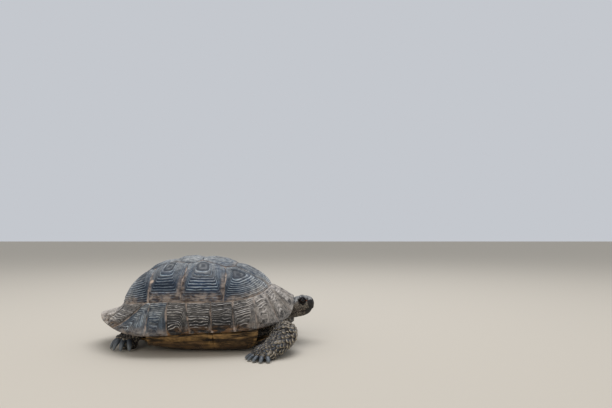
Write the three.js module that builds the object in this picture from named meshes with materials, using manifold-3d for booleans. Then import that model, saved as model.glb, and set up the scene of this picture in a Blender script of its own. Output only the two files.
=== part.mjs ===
// A spur-thighed tortoise at life size, standing with its head out. Millimetres.
// +X is towards the head, +Y towards the animal's left, +Z up.
// The shell is a map from a disk: its middle is the crown, radius 1 is the groove between
// the costal and marginal scutes, and radius 2 is the free edge. Every scute is an outline
// drawn on that disk, given a thickness and a low boss.
import * as THREE from "three";
import { mergeVertices } from "three/addons/utils/BufferGeometryUtils.js";
import Module from "manifold-3d";

const wasm = await Module();
wasm.setup();

const DEG = Math.PI / 180;
const { lerp, smoothstep } = THREE.MathUtils;

// Driving dimensions of the shell.
const crown = 95; // top of the back above the floor
const groove = { front: 83, rear: 76.5, half: 69, square: 2.5 }; // plan of the groove ring
const rim = { front: 110.5, rear: 105.5, half: 74, squareFront: 2.4, squareRear: 1.9 };
const scuteGap = 0.32; // each scute is drawn back from its seams by this much
const hornDome = 3.8; // thickness of the shell in the back
const hornRim = 2.6; // thickness at the free edge
const plateThickness = 4;
const clearance = 0.35; // between flesh and flesh, so that no two pieces overlap

// Seams between the marginal scutes, as angles from the front: [at the groove, at the rim].
const marginalSeams = [
  [2, 2.4], [12, 16.5], [23, 34], [38, 52], [59, 66], [75.5, 77.5],
  [89, 87.2], [97.5, 97.8], [110, 110.8], [115, 136], [146, 150], [161, 163],
];

// Corners of the back scutes in plan, on the left side: [forward, sideways].
const vertebralCross = [[46, 20], [10, 22], [-22, 22], [-55, 15]];
const vertebralSide = [[65, 23], [36, 30], [-3, 31], [-39, 28]];
const vertebralAreola = [63, 26, -7, -39, -65];
const costalSeams = [10, 67, 90.8, 112, 150]; // where costal seams reach the groove, degrees
const costalAreola = [[52, 42], [14, 48], [-21, 47], [-53, 38]];

// ---------- surfaces ----------

function onOval(angle, front, rear, half, square) {
  const forward = Math.cos(angle);
  const sideways = Math.sin(angle);
  const power = 2 / square;
  return new THREE.Vector2(
    Math.sign(forward) * (forward > 0 ? front : rear) * Math.abs(forward) ** power,
    Math.sign(sideways) * half * Math.abs(sideways) ** power,
  );
}

const frontness = (angle, power) => Math.max(0, Math.cos(angle)) ** power;
const rearness = (angle, power) => Math.max(0, -Math.cos(angle)) ** power;

function groovePoint(angle) {
  const flat = onOval(angle, groove.front, groove.rear, groove.half, groove.square);
  const height = 53 + 11 * frontness(angle, 5) - 7 * rearness(angle, 2);
  return new THREE.Vector3(flat.x, flat.y, height);
}

// The free edge arches over the neck, hangs lowest beside the hind legs and flares over the tail.
function rimPoint(angle) {
  const square = Math.cos(angle) > 0 ? rim.squareFront : rim.squareRear;
  const flat = onOval(angle, rim.front, rim.rear, rim.half, square);
  const turn = Math.abs(angle) / DEG;
  const notch = 3 * Math.exp(-((turn / 7) ** 2));
  const tip = 2.5 * Math.exp(-(((180 - turn) / 9) ** 2));
  flat.x -= notch + tip;
  flat.y *= 1 + 0.13 * Math.exp(-(((turn - 122) / 22) ** 2));
  const sag = 4.2 * smoothstep(turn, 75, 125);
  const arch = 12 * frontness(angle, 4) + 15.5 * Math.exp(-((turn / 12.5) ** 2));
  const height = 24 + arch - sag + 13 * rearness(angle, 2.5);
  return new THREE.Vector3(flat.x, flat.y, height);
}

// How far round its own arc the dome has turned where it meets the groove.
function domeTurn(angle) {
  return (75 - 10 * frontness(angle, 2) + 5 * rearness(angle, 2)) * DEG;
}

function domePoint(radius, angle) {
  const edge = groovePoint(angle);
  const turn = domeTurn(angle);
  const out = Math.sin(radius * turn) / Math.sin(turn);
  const up = (Math.cos(radius * turn) - Math.cos(turn)) / (1 - Math.cos(turn));
  return new THREE.Vector3(edge.x * out, edge.y * out, edge.z + (crown - edge.z) * up);
}

// The marginal skirt leaves the dome along its slope and bends to the free edge.
function skirtPoint(down, angle) {
  const start = groovePoint(angle);
  const end = rimPoint(angle);
  const slope = start.clone().sub(domePoint(0.98, angle)).normalize();
  const level = new THREE.Vector3(Math.cos(angle), Math.sin(angle), -0.3);
  slope.lerp(level, 0.8 * frontness(angle, 4));
  const reach = 15 - 6 * frontness(angle, 2) - 8 * rearness(angle, 2);
  return new THREE.QuadraticBezierCurve3(
    start, start.clone().addScaledVector(slope, reach), end,
  ).getPoint(down);
}

// A point of the shell from its place (p forward, q left) on the disk.
function shellPoint(p, q) {
  const radius = Math.hypot(p, q);
  const angle = Math.atan2(q, p);
  return radius <= 1 ? domePoint(radius, angle) : skirtPoint(radius - 1, angle);
}

function shellNormal(p, q) {
  const step = 0.004;
  const along = shellPoint(p + step, q).sub(shellPoint(p - step, q));
  const across = shellPoint(p, q + step).sub(shellPoint(p, q - step));
  return along.cross(across).normalize();
}

// The place on the disk of a spot in plan that lies inside the groove ring.
function diskOf(x, y) {
  const reach = x > 0 ? groove.front : groove.rear;
  const [a, b] = [Math.abs(x) / reach, Math.abs(y) / groove.half];
  const share = (a ** groove.square + b ** groove.square) ** (1 / groove.square);
  if (share < 1e-6) return new THREE.Vector2(0, 0);
  const half = groove.square / 2;
  const angle = Math.atan2(Math.sign(y) * (b / share) ** half, Math.sign(x) * (a / share) ** half);
  const turn = domeTurn(angle);
  const radius = Math.asin(Math.min(1, share * Math.sin(turn))) / turn;
  return new THREE.Vector2(radius * Math.cos(angle), radius * Math.sin(angle));
}

const polar = (radius, degrees) =>
  new THREE.Vector2(radius * Math.cos(degrees * DEG), radius * Math.sin(degrees * DEG));

// ---------- solids ----------

// A sphere's net of vertices, moved to place(round, row): row 0 and the last are its poles.
function wrapped(sides, rows, place) {
  const geometry = new THREE.SphereGeometry(1, sides, rows);
  const position = geometry.getAttribute("position");
  for (let i = 0; i < position.count; i++) {
    const row = Math.floor(i / (sides + 1));
    const spot = place(((i % (sides + 1)) % sides) / sides, row);
    position.setXYZ(i, spot.x, spot.y, spot.z);
  }
  return facingOut(bare(geometry));
}

function bare(geometry) {
  geometry.deleteAttribute("normal");
  geometry.deleteAttribute("uv");
  return mergeVertices(geometry, 1e-3);
}

function facingOut(geometry) {
  const position = geometry.getAttribute("position");
  const index = geometry.index.array;
  const [a, b, c] = [0, 0, 0].map(() => new THREE.Vector3());
  let volume = 0;
  for (let i = 0; i < index.length; i += 3) {
    [a, b, c].forEach((corner, k) => corner.fromBufferAttribute(position, index[i + k]));
    volume += a.dot(b.cross(c));
  }
  if (volume < 0)
    for (let i = 0; i < index.length; i += 3)
      [index[i + 1], index[i + 2]] = [index[i + 2], index[i + 1]];
  return geometry;
}

function solid(geometry) {
  return new wasm.Manifold(new wasm.Mesh({
    numProp: 3,
    vertProperties: new Float32Array(geometry.getAttribute("position").array),
    triVerts: new Uint32Array(geometry.index.array),
  }));
}

function geometryOf(manifold) {
  const mesh = manifold.getMesh();
  const geometry = new THREE.BufferGeometry();
  geometry.setAttribute("position", new THREE.BufferAttribute(mesh.vertProperties, 3));
  geometry.setIndex(new THREE.BufferAttribute(mesh.triVerts, 1));
  return geometry;
}

// A rounded body along a curve. Stations are [x, y, z, half width, half height], and the
// section lies square to the path, with its height kept as near upright as it can be.
function limb(stations, sides, rows) {
  const spots = stations.map((s) => new THREE.Vector3(s[0], s[1], s[2]));
  const path = new THREE.CatmullRomCurve3(spots, false, "centripetal");
  const size = (column, t) => {
    const at = t * (stations.length - 1);
    const low = Math.min(Math.floor(at), stations.length - 2);
    return lerp(stations[low][column], stations[low + 1][column], at - low);
  };
  return wrapped(sides, rows, (round, row) => {
    const share = row / rows;
    const t = (1 - Math.cos(share * Math.PI)) / 2 * 0.35 + share * 0.65;
    const centre = path.getPoint(t);
    const ahead = path.getTangent(t);
    const wide = new THREE.Vector3(0, 0, 1).cross(ahead).normalize();
    const high = ahead.clone().cross(wide);
    const cap = Math.sqrt(Math.max(0, 1 - Math.abs(2 * share - 1) ** 5));
    const turn = round * 2 * Math.PI;
    return centre
      .addScaledVector(wide, Math.cos(turn) * size(3, t) * cap)
      .addScaledVector(high, Math.sin(turn) * size(4, t) * cap);
  });
}

// ---------- scutes of the carapace ----------

// Points round an outline on the disk. Edges with both ends on one ring follow that ring.
function roundOutline(corners, count) {
  const edges = corners.map((from, i) => {
    const to = corners[(i + 1) % corners.length];
    const onRing = Math.abs(from.length() - to.length()) < 1e-6 && from.length() > 0.999;
    let turn = to.angle() - from.angle();
    if (turn > Math.PI) turn -= 2 * Math.PI;
    if (turn < -Math.PI) turn += 2 * Math.PI;
    const at = (t) => onRing
      ? polar(from.length(), (from.angle() + turn * t) / DEG)
      : from.clone().lerp(to, t);
    const start = shellPoint(from.x, from.y);
    return { at, length: start.distanceTo(shellPoint(to.x, to.y)) };
  });
  const total = edges.reduce((sum, edge) => sum + edge.length, 0);
  const points = [];
  let spare = count;
  let left = total;
  for (const edge of edges) {
    const steps = Math.max(1, Math.round((edge.length / left) * spare));
    for (let i = 0; i < steps; i++) points.push(edge.at(i / steps));
    spare -= steps;
    left -= edge.length;
  }
  return points;
}

const hornThickness = (spot) => lerp(hornDome, hornRim, smoothstep(spot.length(), 1, 2));

// One scute: rows of its net run from the areola out to the seam, over the edge and back.
// With room, it is the thicker space that the flesh beside it has to leave free.
function scute({ corners, areola, boss, sides, above, below, room = 0 }) {
  const outline = roundOutline(corners, sides);
  const middle = shellPoint(areola.x, areola.y);
  return wrapped(outline.length, above + 1 + below, (round, row) => {
    const under = row > above;
    const share = under ? (above + 1 + below - row) / below : row / above;
    const corner = outline[Math.round(round * outline.length) % outline.length];
    const spot = between(areola, corner, share);
    const point = shellPoint(spot.x, spot.y);
    const inward = middle.clone().sub(point);
    const drawn = Math.min((scuteGap * 1.3 - room * 2) * share, inward.length());
    if (share > 0) point.addScaledVector(inward.normalize(), drawn);
    const lift = under ? -hornThickness(spot) - room : boss * (1 - share * share) + room;
    return point.addScaledVector(shellNormal(spot.x, spot.y), lift);
  });
}

// Marginal scutes lie past radius 1, where a straight line is one of steady radius and turn.
function between(from, to, share) {
  if (from.length() <= 1) return from.clone().lerp(to, share);
  const turn = Math.atan2(from.cross(to), from.dot(to));
  const radius = lerp(from.length(), to.length(), share);
  const angle = Math.atan2(from.y, from.x) + turn * share;
  return new THREE.Vector2(radius * Math.cos(angle), radius * Math.sin(angle));
}

const mirrored = (spots) => spots.map((v) => new THREE.Vector2(v.x, -v.y));

function vertebral(number) {
  const front = number === 0
    ? [polar(1, costalSeams[0])] : [diskOf(...vertebralCross[number - 1])];
  const rear = number === 4
    ? [polar(1, costalSeams[4])] : [diskOf(...vertebralCross[number])];
  const side = number === 4 ? [] : [diskOf(...vertebralSide[number])];
  const left = [...front, ...side, ...rear];
  return scute({
    corners: [...left, ...mirrored(left).reverse()],
    areola: diskOf(vertebralAreola[number], 0),
    boss: number === 4 ? 1.6 : 2.4, sides: 16, above: 4, below: 1,
  });
}

function costal(number, side) {
  const inner = [
    [vertebralSide[1], vertebralCross[0], vertebralSide[0]],
    [vertebralSide[2], vertebralCross[1], vertebralSide[1]],
    [vertebralSide[3], vertebralCross[2], vertebralSide[2]],
    [vertebralCross[3], vertebralSide[3]],
  ][number].map((spot) => diskOf(...spot));
  const outer = [polar(1, costalSeams[number]), polar(1, costalSeams[number + 1])];
  const corners = [...outer, ...inner];
  const areola = [diskOf(...costalAreola[number])];
  return scute({
    corners: side > 0 ? corners : mirrored(corners),
    areola: (side > 0 ? areola : mirrored(areola))[0],
    boss: 1.8, sides: 16, above: 4, below: 1,
  });
}

function marginal(number, side, room) {
  const [front, rear] = [marginalSeams[number - 1], marginalSeams[number]];
  const corners = [polar(1, front[0]), polar(2, front[1]), polar(2, rear[1]), polar(1, rear[0])];
  const areola = [polar(1.66, lerp(front[1], rear[1], 0.6))];
  return scute({
    corners: side > 0 ? corners : mirrored(corners),
    areola: (side > 0 ? areola : mirrored(areola))[0],
    boss: 1, sides: 12, above: 2, below: 1, room,
  });
}

// The nuchal and the supracaudal lie across the midline.
function middleMarginal(seam, heading, room) {
  const left = [polar(1, seam[0]), polar(2, seam[1])];
  return scute({
    corners: [...left, ...mirrored(left).reverse()],
    areola: polar(1.6, heading), boss: 0.6, sides: 12, above: 2, below: 1, room,
  });
}

// ---------- plastron and bridge ----------

// Height of the plastron's flat underside: it lifts a little in front and more behind.
function bellyHeight(x) {
  return 2 + 5.5 * smoothstep(x, 58, 92) + 7.5 * smoothstep(-x, -8, 74);
}

// Across the belly, 0 is the midline, 1 the end of the flat and 2 the top of the bridge.
function bellyPoint(x, across) {
  const side = Math.sign(across) || 1;
  const out = Math.abs(across);
  const flatHalf = 43;
  const low = bellyHeight(x);
  if (out <= 1) return new THREE.Vector3(x, side * flatHalf * out, low);
  const square = x > 0 ? rim.squareFront : rim.squareRear;
  const reach = x > 0 ? rim.front : rim.rear;
  const wall = rim.half * (1 - (Math.abs(x) / reach) ** square) ** (1 / square);
  const inset = 1.6 + 1.4 * smoothstep(x, 40, 76);
  const top = 22 - 3 * smoothstep(-x, -20, 40) + 3 * smoothstep(x, 50, 76);
  const lift = new THREE.QuadraticBezierCurve(
    new THREE.Vector2(flatHalf, low),
    new THREE.Vector2(flatHalf + 18, low),
    new THREE.Vector2(wall - inset, top),
  ).getPoint(out - 1);
  return new THREE.Vector3(x, side * lift.x, lift.y);
}

function bellyNormal(x, across) {
  const along = bellyPoint(x + 0.5, across).sub(bellyPoint(x - 0.5, across));
  const sideways = bellyPoint(x, across + 0.02).sub(bellyPoint(x, across - 0.02));
  return sideways.cross(along).normalize();
}

// Outlines of the left plates, [forward, across], counted from the front.
const bellyPlates = {
  gular: [[73, 0], [90, 0], [89, 0.2], [84, 0.45]],
  humeral: [[73, 0], [84, 0.45], [75, 0.76], [66, 0.92], [59, 1], [50, 0.6], [48, 0]],
  pectoral: [
    [48, 0], [50, 0.6], [59, 1], [66, 1.25], [72, 1.6], [75, 2], [30, 2], [30, 1.3], [33, 0.6], [34, 0],
  ],
  abdominal: [
    [34, 0], [33, 0.6], [30, 1.3], [30, 2], [-37, 2], [-39, 1.3], [-42, 0.96], [-34, 0.5], [-30, 0],
  ],
  femoral: [[-30, 0], [-34, 0.5], [-42, 0.96], [-50, 0.78], [-63, 0.64], [-58, 0]],
  anal: [[-58, 0], [-63, 0.64], [-73, 0.52], [-81, 0.36], [-72, 0]],
};

function bellyPlate(outline, side, room = 0) {
  const sum = outline.reduce((a, b) => [a[0] + b[0], a[1] + b[1]]);
  const middle = sum.map((v) => v / outline.length);
  const edge = [];
  outline.forEach((from, i) => {
    const to = outline[(i + 1) % outline.length];
    const steps = Math.max(1, Math.round(bellyPoint(...from).distanceTo(bellyPoint(...to)) / 16));
    for (let k = 0; k < steps; k++)
      edge.push([lerp(from[0], to[0], k / steps), lerp(from[1], to[1], k / steps)]);
  });
  const centre = bellyPoint(...middle);
  return wrapped(edge.length, 5, (round, row) => {
    const under = row > 2;
    const share = [0, 0.6, 1, 1, 0.6, 0][row];
    const corner = edge[Math.round(round * edge.length) % edge.length];
    const [x, across] = [0, 1].map((k) => lerp(middle[k], corner[k], share));
    const point = bellyPoint(x, across);
    const inward = centre.clone().sub(point);
    const gap = scuteGap - room * 2;
    if (share > 0) point.addScaledVector(inward.normalize(), 1.4 * gap * share);
    const lift = under ? -plateThickness - room : room;
    point.addScaledVector(bellyNormal(x, across), lift);
    point.y = Math.max(point.y, gap);
    point.y *= side;
    return point;
  });
}

// ---------- flesh ----------

// The body inside the shell, drawn larger by grow where another piece is cut back from it.
function trunk(grow) {
  const inset = 7 - grow;
  const rows = 8;
  const floor = (x) => bellyHeight(x) + plateThickness + 1.2 - grow;
  return wrapped(28, rows, (round, row) => {
    const angle = round * 2 * Math.PI;
    const ring = onOval(angle, groove.front - inset, groove.rear - inset, groove.half - inset, 2.5);
    const top = crown - inset;
    if (row <= 3) {
      const share = row / 3;
      const turn = domeTurn(angle);
      const out = Math.sin(share * turn) / Math.sin(turn);
      const up = (Math.cos(share * turn) - Math.cos(turn)) / (1 - Math.cos(turn));
      const edge = groovePoint(angle).z - 2;
      return new THREE.Vector3(ring.x * out, ring.y * out, edge + (top - edge) * up);
    }
    const waist = onOval(angle, 88 + grow, 82 + grow, 61 + grow, 2.6);
    const hem = onOval(angle, 80 + grow, 76 + grow, 41 + grow, 2.8);
    const flank = ring.clone().lerp(waist, 0.5);
    const waistHeight = 28 + 2 * frontness(angle, 4) - 4 * rearness(angle, 3);
    if (row === 4) return new THREE.Vector3(flank.x, flank.y, 41);
    if (row === 5) return new THREE.Vector3(waist.x, waist.y, waistHeight);
    if (row === 6) return new THREE.Vector3(hem.x, hem.y, floor(hem.x));
    if (row === 7) return new THREE.Vector3(hem.x / 2, hem.y / 2, floor(hem.x / 2));
    return new THREE.Vector3(0, 0, floor(0));
  });
}

const neckStations = [
  [74, 0, 31, 14, 12], [86, 0, 32.5, 13, 11], [96, 0, 35, 11.5, 9.5], [106, 0, 38, 10, 8.5],
];

// The head along its length: [forward, crown of the head, chin, half width].
const headStations = [
  [98, 43, 29, 8.5], [101, 45.5, 27.2, 11], [105, 48, 26.4, 12.6],
  [109.5, 50.2, 26.6, 12.9], [114, 51.4, 27.6, 12.1], [118.5, 52, 28.4, 11],
  [123.5, 51.9, 30.2, 9.6], [127.7, 50.6, 33, 8], [130.5, 48.6, 36.6, 6], [131.9, 45.6, 40.4, 3.2],
];
const eye = { x: 118.2, y: 8.4, z: 46.6, radius: 4.1 };

function headCore() {
  const rows = headStations.length + 1;
  return wrapped(20, rows, (round, row) => {
    const station = headStations[Math.min(Math.max(row - 1, 0), headStations.length - 1)];
    const [x, top, chin, half] = station;
    const middle = lerp(chin, top, 0.52);
    if (row === 0) return new THREE.Vector3(x - 1, 0, middle);
    if (row === rows) return new THREE.Vector3(x + 0.5, 0, middle);
    const turn = round * 2 * Math.PI;
    const power = 2 / 2.5;
    const across = Math.sign(Math.cos(turn)) * Math.abs(Math.cos(turn)) ** power;
    const up = Math.sign(Math.sin(turn)) * Math.abs(Math.sin(turn)) ** power;
    const narrow = up < 0 ? 1 + 0.22 * up : 1 - 0.1 * up * up;
    const height = up > 0 ? top - middle : middle - chin;
    return new THREE.Vector3(x, across * half * narrow, middle + up * height);
  });
}

// Claws fan out round the foot's heading by spread degrees each. They leave the foot at palm
// from its middle, rise above its own height, and touch the floor at reach.
const foreClaws = { toes: 5, spread: 23, palm: 11, reach: 19, thick: 2.6, rise: 0 };
const hindClaws = { toes: 4, spread: 29, palm: 9.5, reach: 17.5, thick: 2.8, rise: 5 };

// Legs, as stations of [forward, sideways, up, half width, half height], from root to palm.
const legs = {
  foreleg_right: {
    stations: [[76, -30, 23, 11, 10], [92, -37, 21, 12.5, 10.5], [100, -48, 19.5, 13.5, 11],
      [98.3, -61, 16, 13.6, 10.3], [91.6, -70.5, 10.5, 14.2, 9.3], [84, -78, 7.5, 14.2, 7.5]],
    foot: { at: [83, -78, 5.5], pad: [14, 9], heading: -122, ...foreClaws },
  },
  foreleg_left: {
    stations: [[76, 30, 23, 11, 10], [90, 37, 21, 12.5, 10.5], [95, 48, 19, 13, 11],
      [91, 60, 14, 13.5, 10], [87, 68, 9.5, 14, 8.5], [85, 74, 7, 13, 7]],
    foot: { at: [85, 75, 5.5], pad: [13.5, 9], heading: 68, ...foreClaws },
  },
  hindleg_right: {
    stations: [[-44, -28, 26, 12, 11], [-55, -35, 21, 12.5, 11.5], [-62, -36, 14, 11, 10],
      [-65, -35.5, 8, 10.5, 8]],
    foot: { at: [-65, -35.5, 8], pad: [10.8, 8.5], heading: -112, ...hindClaws },
  },
  hindleg_left: {
    stations: [[-46, 28, 26, 12, 11], [-60, 36, 21, 12.5, 11.5], [-70, 40, 14, 11.5, 10],
      [-74, 41, 8, 11, 8]],
    foot: { at: [-74, 41, 8], pad: [11.5, 8.5], heading: 75, ...hindClaws },
  },
};

// One claw: a tapered spike that leaves the toe level and bends down to the floor.
function claw({ at, heading, spread, toes, palm, reach, thick, rise }, number) {
  const turn = (heading + (number - (toes - 1) / 2) * spread) * DEG;
  const [x, y, z] = at;
  const station = (distance, height, half) =>
    [x + Math.cos(turn) * distance, y + Math.sin(turn) * distance, height, half, half * 0.95];
  return solid(limb([
    station(palm - 5, z + rise - 0.5, thick),
    station(palm, z + rise, thick * 1.05),
    station((palm + reach) / 2, (z + rise) * 0.8, thick * 0.8),
    station(reach, 1.1, 0.9),
  ], 6, 5));
}

// The sole is a low cushion under the end of the limb, flat where it meets the floor.
function sole({ at, pad }) {
  const [half, height] = pad;
  const cushion = new THREE.SphereGeometry(1, 14, 7).rotateX(90 * DEG).scale(half, half, height);
  return solid(bare(cushion.translate(at[0], at[1], height * 0.62)));
}

function leg({ stations, foot }) {
  let whole = solid(limb(stations, 12, 9)).add(sole(foot));
  for (let i = 0; i < foot.toes; i++) whole = whole.add(claw(foot, i));
  return whole;
}

const tailStations = [
  [-72, 0, 21, 8, 8], [-84, 1, 18, 6.8, 6.5], [-92, 6, 15, 4.8, 4.6], [-96, 15, 12.5, 2.2, 2.2],
];

// ---------- assembly ----------

const material = (color, roughness) => new THREE.MeshStandardMaterial({ color, roughness, metalness: 0 });
const horn = material(0x3b3d40, 0.55);
const belly = material(0x6b5136, 0.6);
const skin = material(0x4a4238, 0.85);
const clawHorn = material(0x2e3238, 0.5);
const wetEye = material(0x0d0b0a, 0.1);

const tortoise = new THREE.Group();

function addPiece(name, geometry, finish) {
  const mesh = new THREE.Mesh(geometry, finish);
  mesh.name = name;
  tortoise.add(mesh);
}

const sides = { left: 1, right: -1 };
for (let i = 0; i < 5; i++) addPiece(`vertebral_${i + 1}`, vertebral(i), horn);
for (const [word, side] of Object.entries(sides)) {
  for (let i = 0; i < 4; i++) addPiece(`costal_${word}_${i + 1}`, costal(i, side), horn);
  for (let i = 1; i < marginalSeams.length; i++)
    addPiece(`marginal_${word}_${i}`, marginal(i, side), horn);
  for (const [name, outline] of Object.entries(bellyPlates))
    addPiece(`${name}_${word}`, bellyPlate(outline, side), belly);
}
addPiece("nuchal", middleMarginal(marginalSeams[0], 0), horn);
addPiece("supracaudal", middleMarginal(marginalSeams.at(-1), 180), horn);

// The floor keeps the soles flat, and each limb is cut back from what it grows from.
const floorBlock = solid(bare(new THREE.BoxGeometry(400, 400, 60).translate(0, 0, -30)));
const bodyRoom = solid(trunk(clearance));
const shellPieces = [
  middleMarginal(marginalSeams[0], 0, clearance),
  middleMarginal(marginalSeams.at(-1), 180, clearance),
];
for (const side of Object.values(sides)) {
  for (let i = 1; i < marginalSeams.length; i++) shellPieces.push(marginal(i, side, clearance));
  for (const outline of Object.values(bellyPlates))
    shellPieces.push(bellyPlate(outline, side, clearance));
}
const shellRoom = shellPieces.map(solid).reduce((whole, piece) => whole.add(piece));
const taken = bodyRoom.add(shellRoom);
addPiece("trunk", trunk(0), skin);

const eyeball = (grow, side) => solid(bare(
  new THREE.SphereGeometry(eye.radius + grow, 12, 8).translate(eye.x, eye.y * side, eye.z)));
let head = solid(headCore()).subtract(shellRoom);
for (const side of Object.values(sides)) head = head.subtract(eyeball(clearance, side));
addPiece("head", geometryOf(head), skin);
for (const [word, side] of Object.entries(sides))
  addPiece(`eye_${word}`, geometryOf(eyeball(0, side)), wetEye);

const headRoom = solid(headCore()).translate([-clearance, 0, 0]);
const neck = solid(limb(neckStations, 12, 5)).subtract(taken).subtract(headRoom);
addPiece("neck", geometryOf(neck), skin);

for (const [name, shape] of Object.entries(legs))
  addPiece(name, geometryOf(leg(shape).subtract(floorBlock).subtract(taken)), skin);
addPiece("tail", geometryOf(solid(limb(tailStations, 10, 6)).subtract(taken)), skin);

// The origin is the middle of the whole model's box, on the floor.
const box = new THREE.Box3().setFromObject(tortoise);
const middle = box.getCenter(new THREE.Vector3());
tortoise.position.set(-middle.x, -middle.y, -box.min.z);

export default tortoise;
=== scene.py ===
# %% [markdown]
# # A spur-thighed tortoise at life size
# This lesson dresses a finished set of plain solids as a living animal. The solids say where
# each piece lies; the lesson gives every piece its real surface: ringed horn on the shell, one
# continuous hide over the body, solid scales on the legs, claws and wet eyes.
# All shapes are drawn in millimetres in the shell's own frame, where x points to the head,
# y to the animal's left and z up, and are moved to metres only when a mesh is made.

import math

import bmesh
import bpy
import numpy as np
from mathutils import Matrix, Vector
from mathutils.kdtree import KDTree


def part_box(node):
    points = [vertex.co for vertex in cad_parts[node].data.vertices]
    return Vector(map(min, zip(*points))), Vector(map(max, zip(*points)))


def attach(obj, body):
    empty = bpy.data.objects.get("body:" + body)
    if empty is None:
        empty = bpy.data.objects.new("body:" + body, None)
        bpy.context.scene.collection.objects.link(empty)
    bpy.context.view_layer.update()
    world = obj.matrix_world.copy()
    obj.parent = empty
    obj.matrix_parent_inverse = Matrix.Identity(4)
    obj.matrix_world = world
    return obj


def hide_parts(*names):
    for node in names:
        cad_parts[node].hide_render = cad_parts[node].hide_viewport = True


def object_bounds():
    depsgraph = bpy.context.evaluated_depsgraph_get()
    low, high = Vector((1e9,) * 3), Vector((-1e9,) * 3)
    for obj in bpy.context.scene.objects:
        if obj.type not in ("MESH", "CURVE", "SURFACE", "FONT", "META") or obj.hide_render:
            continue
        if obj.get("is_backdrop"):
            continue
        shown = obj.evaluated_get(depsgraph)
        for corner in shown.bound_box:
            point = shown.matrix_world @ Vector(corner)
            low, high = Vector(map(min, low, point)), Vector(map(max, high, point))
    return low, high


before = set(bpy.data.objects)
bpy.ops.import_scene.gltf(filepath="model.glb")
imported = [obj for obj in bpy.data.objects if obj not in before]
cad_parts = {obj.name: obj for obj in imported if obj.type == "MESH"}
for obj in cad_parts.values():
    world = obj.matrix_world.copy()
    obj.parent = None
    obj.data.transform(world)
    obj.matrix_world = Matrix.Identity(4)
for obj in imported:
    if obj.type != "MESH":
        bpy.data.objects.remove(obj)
cad_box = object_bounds()
MM = 0.001
TRUNK_FRONT = 88.0  # where the trunk's own drawing puts its foremost point
trunk_low, trunk_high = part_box("trunk")
SHIFT = np.array([trunk_high.x / MM - TRUNK_FRONT, (trunk_low.y + trunk_high.y) / 2 / MM, 0.0])
SIDES = {"left": 1, "right": -1}
FINENESS = 1.0  # trying things out needs only half the net
print("frame:", len(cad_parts), "nodes; the shell's centre sits at", SHIFT.round(2), "mm")

# %% [markdown]
# ## Small tools
# Five helpers carry the whole lesson. The first turns a colour from the usual hex code, which is
# stored for the eye, into the linear light that Blender mixes. The second adds one node and fills
# or links its sockets. The others are a soft step, a soft bump and a smooth noise: nature repeats
# nothing exactly, so nearly every formula below is nudged by noise. The noise is a fixed lattice
# of numbers, so the animal is the same at each run.

# %% Colour, nodes, steps and noise
def linear(hex_code, alpha=1.0):
    """An sRGB hex colour as the linear values that Blender works in."""
    parts = [int(hex_code[i : i + 2], 16) / 255 for i in (1, 3, 5)]
    light = [c / 12.92 if c <= 0.04045 else ((c + 0.055) / 1.055) ** 2.4 for c in parts]
    return (*light, alpha)


def add(tree, kind, *values, out=0, sockets=None, **settings):
    """Adds one node with its settings and links, and returns its output.

    The values fill its sockets in order; sockets fills others by name or number. A value is
    another node's output, a plain value, or a colour's hex code.
    """
    node = tree.nodes.new(kind)
    for name, value in settings.items():
        setattr(node, name, value)
    for socket, value in {**dict(enumerate(values)), **(sockets or {})}.items():
        if isinstance(value, bpy.types.NodeSocket):
            tree.links.new(value, node.inputs[socket])
        else:
            is_colour = isinstance(value, str) and value.startswith("#")
            node.inputs[socket].default_value = linear(value) if is_colour else value
    return node.outputs[out] if node.outputs else node


def smooth(x, start, end):
    """0 before start, 1 after end, and a soft step between them."""
    t = np.clip((x - start) / (end - start), 0, 1)
    return t * t * (3 - 2 * t)


def bump(x, middle, width):
    """1 at the middle, falling softly to 0 on both sides."""
    return np.exp(-(((x - middle) / width) ** 2))


LATTICE = np.random.default_rng(11).uniform(-1, 1, (24, 24, 24))


def noise(points, size, seed=0):
    """Smooth noise from -1 to 1 at points in mm, with bumps about size mm across."""
    spot = points / size + 5.37 * seed
    cell = np.floor(spot).astype(int)
    part = spot - cell
    part = part * part * (3 - 2 * part)
    total = np.zeros(points.shape[:-1])
    for corner in np.ndindex(2, 2, 2):
        weight = np.prod(np.where(np.array(corner) == 1, part, 1 - part), axis=-1)
        i, j, k = np.moveaxis((cell + corner) % len(LATTICE), -1, 0)
        total += weight * LATTICE[i, j, k]
    return total


print("noise check:", noise(np.array([[1.0, 2.0, 3.0]]), 5.0).round(3))

# %% [markdown]
# ## Meshes as arrays
# Every piece starts as arrays: its places in millimetres, and marks, one number or direction for
# each vertex, which tell a tree or a material later what grows there. Blender copies whole arrays
# in and out, which is far faster than visiting each vertex. Most pieces are closed nets, with a
# pole at each end and rows of vertices between, like a globe's lines.

# %% Mesh tools
def write_marks(mesh, marks):
    """Stores a number or a vector for each vertex, under each name."""
    for name, values in marks.items():
        kind, field = ("FLOAT_VECTOR", "vector") if values.ndim == 2 else ("FLOAT", "value")
        mesh.attributes.new(name, kind, "POINT").data.foreach_set(field, values.ravel())


def read_mark(mesh, name):
    values = np.empty(len(mesh.vertices))
    mesh.attributes[name].data.foreach_get("value", values)
    return values


def places_of(mesh):
    """The mesh's vertices in mm, in the shell's frame."""
    flat = np.empty(len(mesh.vertices) * 3)
    mesh.vertices.foreach_get("co", flat)
    return flat.reshape(-1, 3) / MM - SHIFT


def set_places(mesh, points):
    mesh.vertices.foreach_set("co", ((points + SHIFT) * MM).ravel())
    mesh.update()


def normals_at(mesh):
    flat = np.empty(len(mesh.vertices) * 3)
    mesh.vertices.foreach_get("normal", flat)
    return flat.reshape(-1, 3)


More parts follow.
